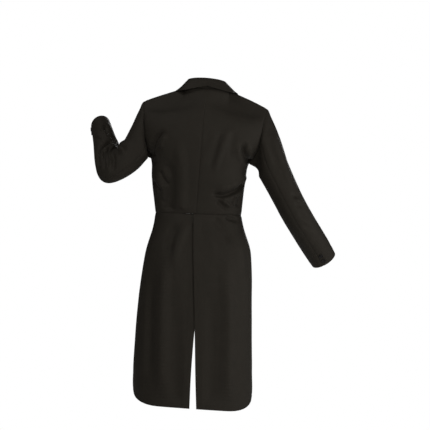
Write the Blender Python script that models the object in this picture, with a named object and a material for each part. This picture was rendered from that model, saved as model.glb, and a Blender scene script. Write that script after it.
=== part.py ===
"""White tie tailcoat in its worn form, with nothing inside it: the cloth panels that a tailor
cuts, each one a closed wall of cloth that meets its neighbours along the seams.

Metres, +Z up. The coat's front faces -Y, its own left side is +X, and the origin is at the nape
of the neck, where the coat hangs from its wearer. The panels are first drawn on a straight,
even figure and are then posed: the back leans and the shoulders tilt with the wearer's stance.
"""

import math

import bpy
import numpy as np

# Cloth
CLOTH = 0.0020  # thickness of the cloth wall
SEAM_CLOTH = 0.0010  # a sleeve's cloth where it is pressed thin at the armhole seam
SEAM_GAP = 0.0003  # between two panels at a seam
LAYER_GAP = 0.0006  # between cloth and what lies on it
RIM_ORDER = np.array([0.31, 0.17, 0.93])  # both rims of a seam are split by height along this

# Neck and shoulder seam, on the straight figure
NECK_HALF = 0.080
NECK_DEPTH = 0.044
NECK_RISE = -0.002
SHOULDER_HALF = 0.2223
SHOULDER_SET = -0.072  # how far the shoulder tip lies ahead of the nape
SHOULDER_DROP = -0.062
SHOULDER_ARCH = 0.002

# Rows of the back, from the waist seam up. "edge" is the side seam, then the armhole.
# up, centre height, edge height, half breadth, centre depth, edge depth, roundness, turn
BACK_ROWS = (
    (0.00, -0.4525, -0.4525, 0.1550, 0.004, -0.085, 2.3, 90),
    (0.17, -0.3900, -0.3900, 0.1625, 0.013, -0.083, 2.3, 90),
    (0.34, -0.3250, -0.3250, 0.1700, 0.028, -0.081, 2.3, 90),
    (0.50, -0.2600, -0.2625, 0.1775, 0.040, -0.078, 2.3, 88),
    (0.60, -0.2000, -0.2150, 0.2030, 0.046, -0.042, 2.2, 74),
    (0.72, -0.1400, -0.1620, 0.2110, 0.046, -0.024, 2.1, 64),
    (0.86, -0.0700, -0.1060, 0.2160, 0.032, -0.038, 1.7, 62),
    (0.94, -0.0290, -0.0800, 0.2200, 0.017, -0.056, 1.1, 70),
)

# Rows of a front, from the waist seam up. "edge" is the side seam, then the armhole.
# up, edge height, edge out, edge depth, front height, front out, front depth, roundness, turn
FRONT_ROWS = (
    (0.00, -0.4525, 0.1550, -0.085, -0.476, 0.058, -0.190, 2.2, 90),
    (0.17, -0.3900, 0.1625, -0.083, -0.395, 0.052, -0.200, 2.2, 90),
    (0.34, -0.3250, 0.1700, -0.081, -0.322, 0.052, -0.206, 2.2, 90),
    (0.50, -0.2625, 0.1775, -0.078, -0.250, 0.058, -0.204, 2.2, 88),
    (0.60, -0.2150, 0.1800, -0.120, -0.188, 0.068, -0.190, 2.0, 70),
    (0.72, -0.1620, 0.1870, -0.138, -0.122, 0.077, -0.159, 1.7, 58),
    (0.86, -0.1060, 0.2020, -0.122, -0.054, 0.084, -0.108, 1.4, 58),
)
ARMPIT = 0.50  # "up" of the row that meets the foot of the armhole

# Rows of a tail, from the waist seam down. "reach" is how far its front edge runs past the side.
# height, half breadth, centre depth, edge depth, front depth, roundness, reach, corner lift
TAIL_ROWS = (
    (-0.500, 0.1640, 0.012, -0.084, -0.190, 2.3, 0.088, 0.000),
    (-0.583, 0.1890, 0.036, -0.082, -0.194, 2.4, 0.092, 0.000),
    (-0.662, 0.1990, 0.047, -0.080, -0.192, 2.5, 0.088, 0.000),
    (-0.770, 0.2060, 0.052, -0.078, -0.186, 2.5, 0.072, 0.000),
    (-0.900, 0.2116, 0.054, -0.076, -0.178, 2.5, 0.046, 0.000),
    (-1.030, 0.2146, 0.055, -0.074, -0.170, 2.5, 0.016, 0.004),
    (-1.105, 0.2150, 0.055, -0.074, -0.168, 2.5, -0.006, 0.018),
    (-1.157, 0.2142, 0.055, -0.074, -0.166, 2.5, -0.036, 0.038),
)
TAIL_FRONT_SHARE = 0.62  # share of the front's waist seam that the tail takes up

# The open centre vent: how far each tail's edge stops short of the centre line.
# height, left edge, right edge
VENT = (
    (-0.4525, -0.014, -0.010),
    (-0.5830, -0.010, -0.016),
    (-0.6620, -0.008, -0.013),
    (-0.7700, -0.004, -0.007),
    (-0.8720, 0.0015, -0.001),
    (-0.9600, 0.0045, 0.003),
    (-1.1570, 0.0110, 0.012),
)
UNDERLAP_END = -0.872  # below this height the two edges part
UNDERLAP_FLAT = 0.034  # how far from its edge the left tail lies wholly under the right one
UNDERLAP_REACH = 0.070  # how far from its edge it is level with the rest again

# The stance: how each height is carried over and tilted.
# height, carried to the left, centre seam pulled further left, tilt (rise per metre to the left)
STANCE = (
    (0.060, -0.004, 0.000, 0.062),
    (0.000, 0.000, 0.000, 0.062),
    (-0.062, 0.006, 0.001, 0.066),
    (-0.140, 0.014, 0.002, 0.065),
    (-0.190, 0.019, 0.000, 0.062),
    (-0.262, 0.026, -0.001, 0.056),
    (-0.350, 0.031, 0.001, 0.040),
    (-0.4525, 0.031, 0.007, 0.026),
    (-0.583, 0.0315, 0.003, 0.012),
    (-0.662, 0.036, 0.000, 0.008),
    (-0.770, 0.0432, 0.000, 0.008),
    (-0.900, 0.0486, 0.000, 0.012),
    (-1.030, 0.0522, 0.000, 0.028),
    (-1.157, 0.0522, 0.000, 0.042),
)


class Arm:
    """The line that a sleeve follows, and its girth."""

    def __init__(self, side, shoulder, elbow, cuff, bend_radius, cap_end, girth):
        self.side = side
        self.shoulder = np.array(shoulder)
        self.elbow = np.array(elbow)
        self.cuff = np.array(cuff)
        self.bend_radius = bend_radius
        self.cap_end = cap_end  # how far down the line the shaped cap ends
        self.girth = girth  # along (share), across, deep, elbow bulge


LEFT_ARM = Arm(
    side=1,
    shoulder=(0.203, -0.080, -0.158),
    elbow=(0.338, -0.026, -0.313),
    cuff=(0.3810, -0.230, -0.132),
    bend_radius=0.052,
    cap_end=0.085,
    girth=(
        (0.00, 0.062, 0.066, 0.000),
        (0.22, 0.053, 0.060, 0.000),
        (0.36, 0.046, 0.060, 0.022),
        (0.48, 0.043, 0.056, 0.052),
        (0.62, 0.045, 0.052, 0.020),
        (0.80, 0.046, 0.048, 0.002),
        (1.00, 0.040, 0.042, 0.000),
    ),
)
RIGHT_ARM = Arm(
    side=-1,
    shoulder=(-0.188, -0.080, -0.178),
    elbow=(-0.309, -0.062, -0.440),
    cuff=(-0.424, -0.150, -0.619),
    bend_radius=0.260,
    cap_end=0.125,
    girth=(
        (0.00, 0.061, 0.066, 0.000),
        (0.25, 0.059, 0.064, 0.000),
        (0.45, 0.056, 0.060, 0.002),
        (0.65, 0.055, 0.057, 0.003),
        (0.82, 0.053, 0.053, 0.000),
        (0.93, 0.050, 0.050, 0.000),
        (1.00, 0.047, 0.048, 0.000),
    ),
)

CAP_CROWN = 0.010  # how far the cap swells at the shoulder, and hollows under the arm

# The collar, around from the centre back (0), past the shoulder seam (1), to the lapel (2).
# around, stand height, stand lean, fall out, fall up
COLLAR = (
    (0.00, 0.036, -0.010, 0.012, 0.011),
    (0.50, 0.035, -0.011, 0.017, 0.004),
    (1.00, 0.031, -0.012, 0.031, -0.007),
    (1.45, 0.022, -0.006, 0.038, -0.001),
    (2.00, 0.009, 0.000, 0.042, 0.004),
)
GORGE = 0.86  # "up" of the front row where the collar meets the lapel

# The lapel, along the roll line from the gorge (0) to the break (1).
# along, up, width, rise of the outer edge
LAPEL = (
    (0.00, 0.850, 0.094, 0.085),
    (0.12, 0.775, 0.090, 0.030),
    (0.40, 0.580, 0.074, 0.008),
    (0.70, 0.370, 0.048, 0.003),
    (1.00, 0.170, 0.014, 0.000),
)
PEAK_CURVE = 2.4  # how late the lapel's top edge turns up to its peak
LAPEL_ROLL = 0.004  # how far the rolled edge stands off the front
LAPEL_CLEAR = 0.0026  # between the lapel and the front under it

# Buttons
FRONT_BUTTON_RADIUS = 0.0100
CUFF_BUTTON_RADIUS = 0.0075
BUTTON_THICK = 0.0035
FRONT_BUTTON_PLACES = ((0.7, 6.35), (1.9, 6.35), (3.2, 6.05))  # rows up, columns from the side
CUFF_BUTTON_RISES = (0.018, 0.040)  # from the cuff edge
CUFF_BUTTON_COLUMN = 0.5  # columns above the hind-arm seam

# How finely each panel is faceted
NECK_STEPS = 4
FRONT_STEPS = 8
TAIL_FRONT_STEPS = 5
WAIST_TO_ARMPIT_STEPS = 6
ARMHOLE_STEPS = 8
TAIL_STEPS = 12
CAP_STEPS = 4
LAPEL_STEPS = 8
LAPEL_ACROSS = 4
COLLAR_FRONT_STEPS = 3
HIND_SEAM_STEP = 3  # armhole steps up the back at which the hind-arm seam starts
FORE_SEAM_STEP = 3  # armhole steps up the front at which the fore-arm seam starts


def smooth(knots, values, at):
    """The smooth curve through the values at the knots, read at other places along it."""
    knots = np.asarray(knots, float)
    values = np.asarray(values, float)
    at = np.clip(np.asarray(at, float), knots[0], knots[-1])
    slopes = np.gradient(values, knots, axis=0)
    left = np.clip(np.searchsorted(knots, at, side="right") - 1, 0, len(knots) - 2)
    shape = (-1,) + (1,) * (values.ndim - 1)
    width = (knots[left + 1] - knots[left]).reshape(shape)
    t = ((at - knots[left]).reshape(shape)) / width
    start = (1 + 2 * t) * (1 - t) ** 2 * values[left] + t * (1 - t) ** 2 * width * slopes[left]
    end = t * t * (3 - 2 * t) * values[left + 1] + t * t * (t - 1) * width * slopes[left + 1]
    return start + end


def lengths_along(points):
    """The distance from the first point to each point, walked along them."""
    steps = np.linalg.norm(np.diff(points, axis=0), axis=1)
    return np.concatenate([[0.0], np.cumsum(steps)])


def walk(points, distances):
    """The points at the given distances along a run of points."""
    walked = lengths_along(points)
    return np.stack([np.interp(distances, walked, points[:, k]) for k in range(3)], axis=1)


def share_out(points, shares):
    """The points at the given shares of a run's whole length."""
    return walk(points, np.asarray(shares) * lengths_along(points)[-1])


def rounded(inner, outer, roundness, turn, count=120):
    """A run that rounds the body from an inner edge to an outer one, seen from above."""
    angles = np.radians(np.linspace(0, turn, count))
    across = np.sin(angles) ** (2 / roundness)
    over = np.maximum(np.cos(angles), 0) ** (2 / roundness)
    across = across / across[-1]
    over = (over - over[-1]) / (1 - over[-1])
    x = inner[0] + (outer[0] - inner[0]) * across
    y = outer[1] + (inner[1] - outer[1]) * over
    z = outer[2] + (inner[2] - outer[2]) * (1 - across) ** 2
    return np.stack([x, y, z], axis=1)


def unit(vectors):
    """The same vectors, each one long."""
    lengths = np.linalg.norm(vectors, axis=-1, keepdims=True)
    return vectors / np.maximum(lengths, 1e-12)


# The straight figure's panels


def neckline(count=60):
    """The back neckline, from the nape to the neck end of the shoulder seam."""
    angles = np.linspace(0, math.pi / 2, count)
    x = NECK_HALF * np.sin(angles)
    y = NECK_DEPTH * (np.cos(angles) - 1)
    z = NECK_RISE * np.sin(angles)
    return np.stack([x, y, z], axis=1)


def shoulder_seam(count=60):
    """The shoulder seam, from the neck to the shoulder tip, arched a little."""
    share = np.linspace(0, 1, count)
    x = NECK_HALF + (SHOULDER_HALF - NECK_HALF) * share
    y = -NECK_DEPTH + (SHOULDER_SET + NECK_DEPTH) * share
    z = NECK_RISE + (SHOULDER_DROP - NECK_RISE) * share + SHOULDER_ARCH * np.sin(share * math.pi)
    return np.stack([x, y, z], axis=1)


def up_steps():
    """The heights of a bodice panel's rows, with one exactly at the foot of the armhole."""
    below = np.linspace(0, ARMPIT, WAIST_TO_ARMPIT_STEPS + 1)
    above = np.linspace(ARMPIT, 1, ARMHOLE_STEPS + 1)
    return np.concatenate([below, above[1:]])


def back_panel():
    """The left half of the back, as rows of points from the waist up, centre to edge."""
    neck = neckline()
    seam = shoulder_seam()
    seam_shares = 1 - front_shares()[::-1]
    neck_share = lengths_along(neck)[-1] / (lengths_along(neck)[-1] + lengths_along(seam)[-1])
    shares = np.concatenate(
        [
            np.linspace(0, neck_share, NECK_STEPS + 1),
            neck_share + (1 - neck_share) * seam_shares[1:],
        ]
    )
    rows = []
    for _, centre_z, edge_z, half, centre_y, edge_y, roundness, turn in BACK_ROWS:
        run = rounded((0, centre_y, centre_z), (half, edge_y, edge_z), roundness, turn)
        rows.append(share_out(run, shares))
    top = [share_out(neck, np.linspace(0, 1, NECK_STEPS + 1))]
    top.append(share_out(seam[::-1], front_shares())[::-1][1:])
    rows.append(np.concatenate(top))
    knots = [row[0] for row in BACK_ROWS] + [1.0]
    return smooth(knots, rows, up_steps())


def front_run(row):
    """One row of a front, from its edge at the side to its front edge."""
    _, edge_z, edge_x, edge_y, front_z, front_x, front_y, roundness, turn = row
    run = rounded((front_x, front_y, front_z), (edge_x, edge_y, edge_z), roundness, turn)
    return run[::-1]


def front_shares():
    """Where a front's columns fall, with one exactly where the tail ends."""
    tail = np.linspace(0, TAIL_FRONT_SHARE, TAIL_FRONT_STEPS + 1)
    free = np.linspace(TAIL_FRONT_SHARE, 1, FRONT_STEPS - TAIL_FRONT_STEPS + 1)
    return np.concatenate([tail, free[1:]])


def front_panel(back):
    """The left front, as rows of points from the waist up, side to front edge."""
    shares = front_shares()
    rows = [share_out(front_run(row), shares) for row in FRONT_ROWS]
    rows.append(share_out(shoulder_seam()[::-1], shares))
    knots = [row[0] for row in FRONT_ROWS] + [1.0]
    panel = smooth(knots, rows, up_steps())
    seam = slice(0, WAIST_TO_ARMPIT_STEPS + 1)
    apart = back[seam, -1] - panel[seam, 0]
    fading = (1 - shares) ** 2
    panel[seam] += apart[:, None] * fading[None, :, None]
    return panel


def tail_ring(row):
    """The curve a tail follows at one height, and how far along it the centre and side lie."""
    height, half, centre_y, edge_y, front_y, roundness = row[:6]
    back = rounded((0, centre_y, height), (half, edge_y, height), roundness, 90)
    front = rounded((0, front_y, height), (half, edge_y, height), roundness, 90)[::-1]
    behind = back[12::-1] * np.array([-1, 1, 1])
    ring = np.concatenate([behind[:-1], back, front[1:]])
    centre = lengths_along(behind)[-1]
    return ring, centre, centre + lengths_along(back)[-1]


def tail_panel(side, back, front):
    """The left tail, or the right one seen in a mirror: rows from the waist seam down."""
    vent = np.array(VENT)
    edge = vent[:, 1] if side > 0 else vent[:, 2]
    seam = np.concatenate([back[0], front[0][1 : TAIL_FRONT_STEPS + 1]])
    overhang = seam[0] + unit(seam[1] - seam[0]) * edge[0]
    top = np.concatenate([[overhang], seam])
    places = lengths_along(top)
    spread = places / places[-1]
    rows = [top]
    for row in TAIL_ROWS:
        ring, centre, side_place = tail_ring(row)
        begin = centre + np.interp(-row[0], -vent[:, 0], edge)
        end = side_place + row[6]
        run = walk(ring, begin + spread * (end - begin))
        run[:, 2] += row[7] * np.clip((spread - 0.45) / 0.55, 0, 1) ** 2.4
        rows.append(run)
    knots = [0.4525] + [-row[0] for row in TAIL_ROWS]
    at = np.linspace(knots[0], knots[-1], TAIL_STEPS + 1)
    at = np.concatenate([at[:-1], [knots[-1] - 0.022, knots[-1]]])
    return smooth(knots, rows, at)


def mirrored(grid):
    """The same panel for the other side of the coat."""
    return grid * np.array([-1, 1, 1])


def posed(grid):
    """The panel carried over and tilted with the stance."""
    stance = np.array(STANCE)[::-1]
    x, y, z = grid[..., 0], grid[..., 1], grid[..., 2]
    shape = z.shape
    carried = smooth(stance[:, 0], stance[:, 1], z.ravel()).reshape(shape)
    pulled = smooth(stance[:, 0], stance[:, 2], z.ravel()).reshape(shape)
    tilt = smooth(stance[:, 0], stance[:, 3], z.ravel()).reshape(shape)
    near_centre = np.clip(1 - (x / 0.16) ** 2, 0, 1) * (y > -0.09)
    return np.stack([x + carried + pulled * near_centre, y, z + tilt * x], axis=-1)


def underlap(grid, normals):
    """The left tail with the cloth beside its vent set in, to lie under the right tail."""
    from_edge = np.linalg.norm(grid - grid[:, :1], axis=2)
    near = np.clip((UNDERLAP_REACH - from_edge) / (UNDERLAP_REACH - UNDERLAP_FLAT), 0, 1)
    high = np.clip((grid[..., 2] - UNDERLAP_END) / 0.06 + 1.0, 0, 1)
    depth = near * near * (3 - 2 * near) * high * (CLOTH + 2 * LAYER_GAP)
    return grid - normals * depth[..., None]


# Sleeves


def arm_line(arm, spacing=0.004):
    """The sleeve's centre line, its elbow rounded, as points and directions."""
    upper = unit(arm.elbow - arm.shoulder)
    lower = unit(arm.cuff - arm.elbow)
    turn = math.acos(float(np.clip(upper @ lower, -1, 1)))
    cut = arm.bend_radius * math.tan(turn / 2)
    start = arm.elbow - upper * cut
    inward = unit(lower - upper * (upper @ lower))
    angles = np.linspace(0, turn, max(4, int(arm.bend_radius * turn / spacing)))
    arc = (
        start
        + arm.bend_radius * np.sin(angles)[:, None] * upper
        + arm.bend_radius * (1 - np.cos(angles))[:, None] * inward
    )
    before = np.linspace(arm.shoulder, start, 40)
    after = np.linspace(arc[-1], arm.cuff, 40)
    points = np.concatenate([before, arc[1:], after[1:]])
    return points, unit(np.gradient(points, axis=0))


def arm_frames(points, directions, top):
    """Two directions across the sleeve at each point, carried along without twist."""
    up = top - directions[0] * (top @ directions[0])
    ups = [unit(up)]
    for direction in directions[1:]:
        up = ups[-1] - direction * (ups[-1] @ direction)
        ups.append(unit(up))
    ups = np.array(ups)
    return ups, np.cross(directions, ups)


def sleeve_surface(arm, armhole):
    """The whole sleeve as rows of points around it, from the armhole seam to the cuff.

    The columns start at the foot of the armhole, go up its back to the shoulder and come down
    its front, and the last column is the first one again.
    """
    points, directions = arm_line(arm)
    top = armhole[ARMHOLE_STEPS] - armhole[0]
    ups, backs = arm_frames(points, directions, top)
    if backs[0][1] < 0:
        backs = -backs
    walked = lengths_along(points)
    total = walked[-1]
    climb = np.concatenate([np.linspace(0, 1, ARMHOLE_STEPS + 1), np.linspace(1, 2, ARMHOLE_STEPS + 1)[1:]])
    turn_of = np.sign(1 - climb) * np.abs(1 - climb) ** 1.25 * math.pi
    girth = np.array(arm.girth)
    upper = directions[0]
    lower = directions[-1]
    bend_out = unit(upper - lower)

    def ring(distance):
        """The sleeve's round section at one distance, as offsets from the centre line."""
        share = distance / total
        across, deep, bulge = smooth(girth[:, 0], girth[:, 1:], [share])[0]
        up = np.array([np.interp(distance, walked, ups[:, k]) for k in range(3)])
        back = np.array([np.interp(distance, walked, backs[:, k]) for k in range(3)])
        offset = np.cos(turn_of)[:, None] * across * up + np.sin(turn_of)[:, None] * deep * back
        outward = np.clip(unit(offset) @ bend_out, 0, 1)
        return offset + (bulge * outward**2)[:, None] * bend_out

    reach = (armhole - arm.shoulder) @ upper
    radial = armhole - arm.shoulder - reach[:, None] * upper
    at_cap_end = ring(arm.cap_end)
    rows = []
    for step in range(CAP_STEPS):
        t = step / CAP_STEPS
        ease = math.sin(t * math.pi / 2)
        along = reach * (1 - t) + arm.cap_end * t
        crown = CAP_CROWN * math.sin(t * math.pi) * np.cos(turn_of)
        offset = radial * (1 - ease) + at_cap_end * ease
        offset = offset + crown[:, None] * unit(radial)
        rows.append(arm.shoulder + along[:, None] * upper + offset)
    for distance in sleeve_distances(arm, total):
        centre = walk(points, [distance])[0]
        rows.append(centre + ring(distance))
    grid = np.array(rows)
    grid[:, -1] = grid[:, 0]
    return grid


def sleeve_distances(arm, total):
    """Where a sleeve's rows fall below its cap, closer together around a sharp elbow."""
    spacing = 0.018 if arm.bend_radius < 0.1 else 0.036
    count = int(round((total - arm.cap_end) / spacing))
    return np.linspace(arm.cap_end, total, count + 1)


# Collar and lapels


def collar_grid(left_back, right_back, left_front, right_front):
    """The collar: its stand rises from the neckline, folds over, and its fall comes down."""
    ups = up_steps()
    gorge_ups = np.linspace(GORGE, 1, COLLAR_FRONT_STEPS + 1)[:-1]
    table = np.array(COLLAR)
    centre = (left_back[-1, NECK_STEPS] + right_back[-1, NECK_STEPS]) / 2

    def side_foot(back, front):
        foot = smooth(ups, front[:, -1], gorge_ups)
        return np.concatenate([foot, back[-1, : NECK_STEPS + 1][::-1]])

    left = side_foot(left_back, left_front)
    right = side_foot(right_back, right_front)
    foot = np.concatenate([left, right[::-1][1:]])
    one_side = np.concatenate(
        [
            np.linspace(2, 1, COLLAR_FRONT_STEPS + 1)[:-1],
            np.linspace(1, 0, NECK_STEPS + 1),
        ]
    )
    around = np.concatenate([one_side, one_side[::-1][1:]])
    tangent = unit(np.gradient(foot, axis=0))
    away = foot - centre
    away[:, 2] = 0
    out = unit(away - tangent * np.sum(away * tangent, axis=1, keepdims=True))
    rise = unit(np.cross(tangent, out))
    rise[rise[:, 2] < 0] *= -1
    stand, lean, fall_out, fall_up = smooth(table[:, 0], table[:, 1:], around).T
    foot = foot + rise * (SEAM_GAP + 0.0004) + out * 0.0002
    fold_half = 0.0035
    heights_and_outs = (
        (np.zeros_like(stand), np.zeros_like(stand)),
        (stand * 0.55, lean * 0.7),
        (stand * 0.92, lean - fold_half * 0.4),
        (stand, lean + fold_half),
        (stand * 0.86 + fall_up * 0.05, lean + fold_half * 2.6),
        (stand * 0.42 + fall_up * 0.58, lean * 0.45 + fall_out * 0.55 + 0.0035),
        (fall_up, fall_out),
    )
    rows = [foot + up_[:, None] * rise + out_[:, None] * out for up_, out_ in heights_and_outs]
    return np.array(rows)


def lapel_grid(front, normals):
    """A peaked lapel, made from the front's own points and lifted off it."""
    ups = up_steps()
    table = np.array(LAPEL)
    across = np.linspace(0, 1, LAPEL_ACROSS + 1)
    rows = []
    for along in np.linspace(0, 1, LAPEL_STEPS + 1):
        up, width, rise = smooth(table[:, 0], table[:, 1:], [along])[0]
        points = []
        for share in across:
            here = up + rise * share**PEAK_CURVE
            row = smooth(ups, front, [here])[0][::-1]
            aim = smooth(ups, normals, [here])[0][::-1]
            distance = width * share
            place = walk(row, [distance])[0]
            walked = lengths_along(row)
            normal = unit(np.array([np.interp(distance, walked, aim[:, k]) for k in range(3)]))
            roll = LAPEL_ROLL * math.sin(math.pi * min(1.0, share * 1.6 + 0.12)) * (1 - 0.6 * along)
            points.append(place + normal * (CLOTH + LAPEL_CLEAR + roll))
        rows.append(points)
    return np.array(rows)


# From rows of points to walls of cloth


def grid_normals(grid):
    """The direction square to the grid at each point, from its neighbours."""
    return unit(np.cross(np.gradient(grid, axis=1), np.gradient(grid, axis=0)))


def facing(grid, normals, out_of):
    """Normals turned so that they point away from a place inside the coat."""
    middle = (grid - out_of).reshape(-1, 3)
    return normals if (middle * normals.reshape(-1, 3)).sum() > 0 else -normals


def inward(edge, beside):
    """Directions along the cloth and square to an edge, towards the points beside it."""
    along = unit(np.gradient(edge, axis=0))
    across = beside - edge
    return unit(across - along * np.sum(across * along, axis=1, keepdims=True))


def drawn_in(grid, amount):
    """The panel with each of its edges moved in along the cloth by the amount."""
    moved = grid.copy()
    moved[0] += inward(grid[0], grid[1]) * amount
    moved[-1] += inward(grid[-1], grid[-2]) * amount
    moved[:, 0] += inward(grid[:, 0], grid[:, 1]) * amount
    moved[:, -1] += inward(grid[:, -1], grid[:, -2]) * amount
    return moved


def wall(name, grid, normals, material, first_row_thickness=CLOTH):
    """A closed wall of cloth whose outer face is the grid, as a new object."""
    rows, columns = grid.shape[:2]
    outer = drawn_in(grid, SEAM_GAP / 2)
    thickness = np.full((rows, 1, 1), CLOTH)
    thickness[0] = first_row_thickness
    inner = outer - normals * thickness
    points = np.concatenate([outer.reshape(-1, 3), inner.reshape(-1, 3)])
    below = rows * columns
    number = np.arange(below).reshape(rows, columns)
    faces = []
    for r in range(rows - 1):
        for c in range(columns - 1):
            a, b = number[r, c], number[r, c + 1]
            d, e = number[r + 1, c + 1], number[r + 1, c]
            faces.append((a, b, d, e))
            faces.append((e + below, d + below, b + below, a + below))
    ring = list(number[0, :]) + list(number[1:, -1])
    ring += list(number[-1, -2::-1]) + list(number[-2:0:-1, 0])
    height = outer.reshape(-1, 3) @ RIM_ORDER
    for a, b in zip(ring, ring[1:] + ring[:1]):
        if height[a] > height[b]:
            faces.append((b, a, b + below))
            faces.append((a, a + below, b + below))
        else:
            faces.append((b, a, a + below))
            faces.append((b, a + below, b + below))
    corner = np.cross(grid[0, 1] - grid[0, 0], grid[1, 0] - grid[0, 0])
    if corner @ normals[0, 0] < 0:
        faces = [face[::-1] for face in faces]
    return object_of(name, points, faces, material)


def object_of(name, points, faces, material):
    """A mesh object from points and faces, in its material."""
    mesh = bpy.data.meshes.new(name)
    mesh.from_pydata([tuple(map(float, p)) for p in points], [], [tuple(map(int, f)) for f in faces])
    mesh.materials.append(material)
    mesh.shade_smooth()
    mesh.set_sharp_from_angle(angle=math.radians(50))
    obj = bpy.data.objects.new(name, mesh)
    bpy.context.scene.collection.objects.link(obj)
    return obj


def spot(grid, normals, row, column):
    """A place on a facet of a panel, at a row and column given in steps, and its direction."""
    r, c = int(row), int(column)
    t, u = row - r, column - c
    corners = grid[r : r + 2, c : c + 2]
    place = (1 - t) * ((1 - u) * corners[0, 0] + u * corners[0, 1])
    place = place + t * ((1 - u) * corners[1, 0] + u * corners[1, 1])
    normal = unit(np.cross(corners[1, 1] - corners[0, 0], corners[1, 0] - corners[0, 1]))
    return place, normal if normal @ normals[r, c] > 0 else -normal


def button(name, place, normal, radius, material):
    """A flat button with a raised rim, lying on the cloth at a place."""
    profile = (
        (0.0, BUTTON_THICK * 0.55),
        (radius * 0.62, BUTTON_THICK * 0.55),
        (radius * 0.76, BUTTON_THICK),
        (radius * 0.94, BUTTON_THICK * 0.92),
        (radius, BUTTON_THICK * 0.45),
        (radius * 0.86, 0.0),
        (0.0, 0.0),
    )
    sides = 14
    side = unit(np.cross(normal, np.array([0.0, 0.0, 1.0])))
    other = np.cross(normal, side)
    base = place + normal * (LAYER_GAP + 0.0004)
    points = [base + normal * profile[0][1]]
    for out, up in profile[1:-1]:
        for k in range(sides):
            angle = 2 * math.pi * k / sides
            flat = side * math.cos(angle) + other * math.sin(angle)
            points.append(base + normal * up + flat * out)
    points.append(base)
    faces = []
    last = len(points) - 1
    rings = len(profile) - 2
    for k in range(sides):
        nxt = (k + 1) % sides
        faces.append((0, 1 + k, 1 + nxt))
        for r in range(rings - 1):
            a, b = 1 + r * sides + k, 1 + r * sides + nxt
            faces.append((a, a + sides, b + sides, b))
        low = 1 + (rings - 1) * sides
        faces.append((last, low + nxt, low + k))
    return object_of(name, points, faces, material)


def cloth_material(name, colour, roughness):
    """A plain dielectric finish."""
    material = bpy.data.materials.new(name)
    material.use_nodes = True
    shader = material.node_tree.nodes["Principled BSDF"]
    shader.inputs["Base Color"].default_value = (*colour, 1)
    shader.inputs["Roughness"].default_value = roughness
    shader.inputs["Metallic"].default_value = 0
    material.diffuse_color = (*colour, 1)
    return material


def clear_scene():
    """Removes whatever the scene starts with."""
    for obj in list(bpy.data.objects):
        bpy.data.objects.remove(obj, do_unlink=True)


def build():
    """Every panel and button of the coat."""
    clear_scene()
    wool = cloth_material("suiting", (0.018, 0.016, 0.013), 0.85)
    satin = cloth_material("lapel facing", (0.012, 0.011, 0.010), 0.45)
    horn = cloth_material("button", (0.010, 0.009, 0.008), 0.35)

    back = back_panel()
    front = front_panel(back)
    sides = (("left", 1, LEFT_ARM), ("right", -1, RIGHT_ARM))
    panels = {}
    insides = {}
    trunk = np.array([0.02, -0.08, -0.30])
    skirt = np.array([0.04, -0.06, -0.80])
    for side_name, side, arm in sides:
        turn = (lambda grid: grid) if side > 0 else mirrored
        panels["back_" + side_name] = posed(turn(back))
        panels["front_" + side_name] = posed(turn(front))
        panels["tail_" + side_name] = posed(turn(tail_panel(side, back, front)))
        insides["back_" + side_name] = trunk
        insides["front_" + side_name] = trunk
        insides["tail_" + side_name] = skirt
        back_edge = panels["back_" + side_name][WAIST_TO_ARMPIT_STEPS:, -1]
        front_edge = panels["front_" + side_name][WAIST_TO_ARMPIT_STEPS:, 0]
        armhole = np.concatenate([back_edge, front_edge[::-1][1:]])
        sleeve = sleeve_surface(arm, armhole)
        fore = 2 * ARMHOLE_STEPS - FORE_SEAM_STEP
        panels["sleeve_top_" + side_name] = sleeve[:, HIND_SEAM_STEP : fore + 1]
        panels["sleeve_under_" + side_name] = np.concatenate(
            [sleeve[:, fore:], sleeve[:, 1 : HIND_SEAM_STEP + 1]], axis=1
        )
    names = list(panels)
    normals = {}
    own = []
    for name in names:
        grid = panels[name]
        if name.startswith("sleeve"):
            own.append(sleeve_out(grid, name, panels))
        else:
            own.append(facing(grid, grid_normals(grid), insides[name]))
    merged = merge_normals([panels[n] for n in names], own)
    for name, vectors in zip(names, merged):
        normals[name] = vectors
    panels["tail_left"] = underlap(panels["tail_left"], normals["tail_left"])
    for name in names:
        pressed = SEAM_CLOTH if name.startswith("sleeve") else CLOTH
        wall(name, panels[name], normals[name], wool, pressed)

    collar = collar_grid(
        panels["back_left"], panels["back_right"], panels["front_left"], panels["front_right"]
    )
    vectors = grid_normals(collar)
    if vectors[-1, collar.shape[1] // 2][1] < 0:
        vectors = -vectors
    wall("collar", collar, vectors, wool)
    for side_name, side, arm in sides:
        grid = lapel_grid(panels["front_" + side_name], normals["front_" + side_name])
        vectors = grid_normals(grid)
        if vectors[2, 2][1] > 0:
            vectors = -vectors
        wall("lapel_" + side_name, grid, vectors, satin)
        front_name = "front_" + side_name
        for number, (row, column) in enumerate(FRONT_BUTTON_PLACES, start=1):
            place, aim = spot(panels[front_name], normals[front_name], row, column)
            button(f"button_front_{side_name}_{number}", place, aim, FRONT_BUTTON_RADIUS, horn)
        sleeve_name = "sleeve_top_" + side_name
        sleeve = panels[sleeve_name]
        for number, rise in enumerate(CUFF_BUTTON_RISES, start=1):
            step = np.linalg.norm(sleeve[-1, 0] - sleeve[-2, 0])
            row = sleeve.shape[0] - 1 - rise / step
            place, aim = spot(sleeve, normals[sleeve_name], row, CUFF_BUTTON_COLUMN)
            button(f"button_cuff_{side_name}_{number}", place, aim, CUFF_BUTTON_RADIUS, horn)


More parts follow.
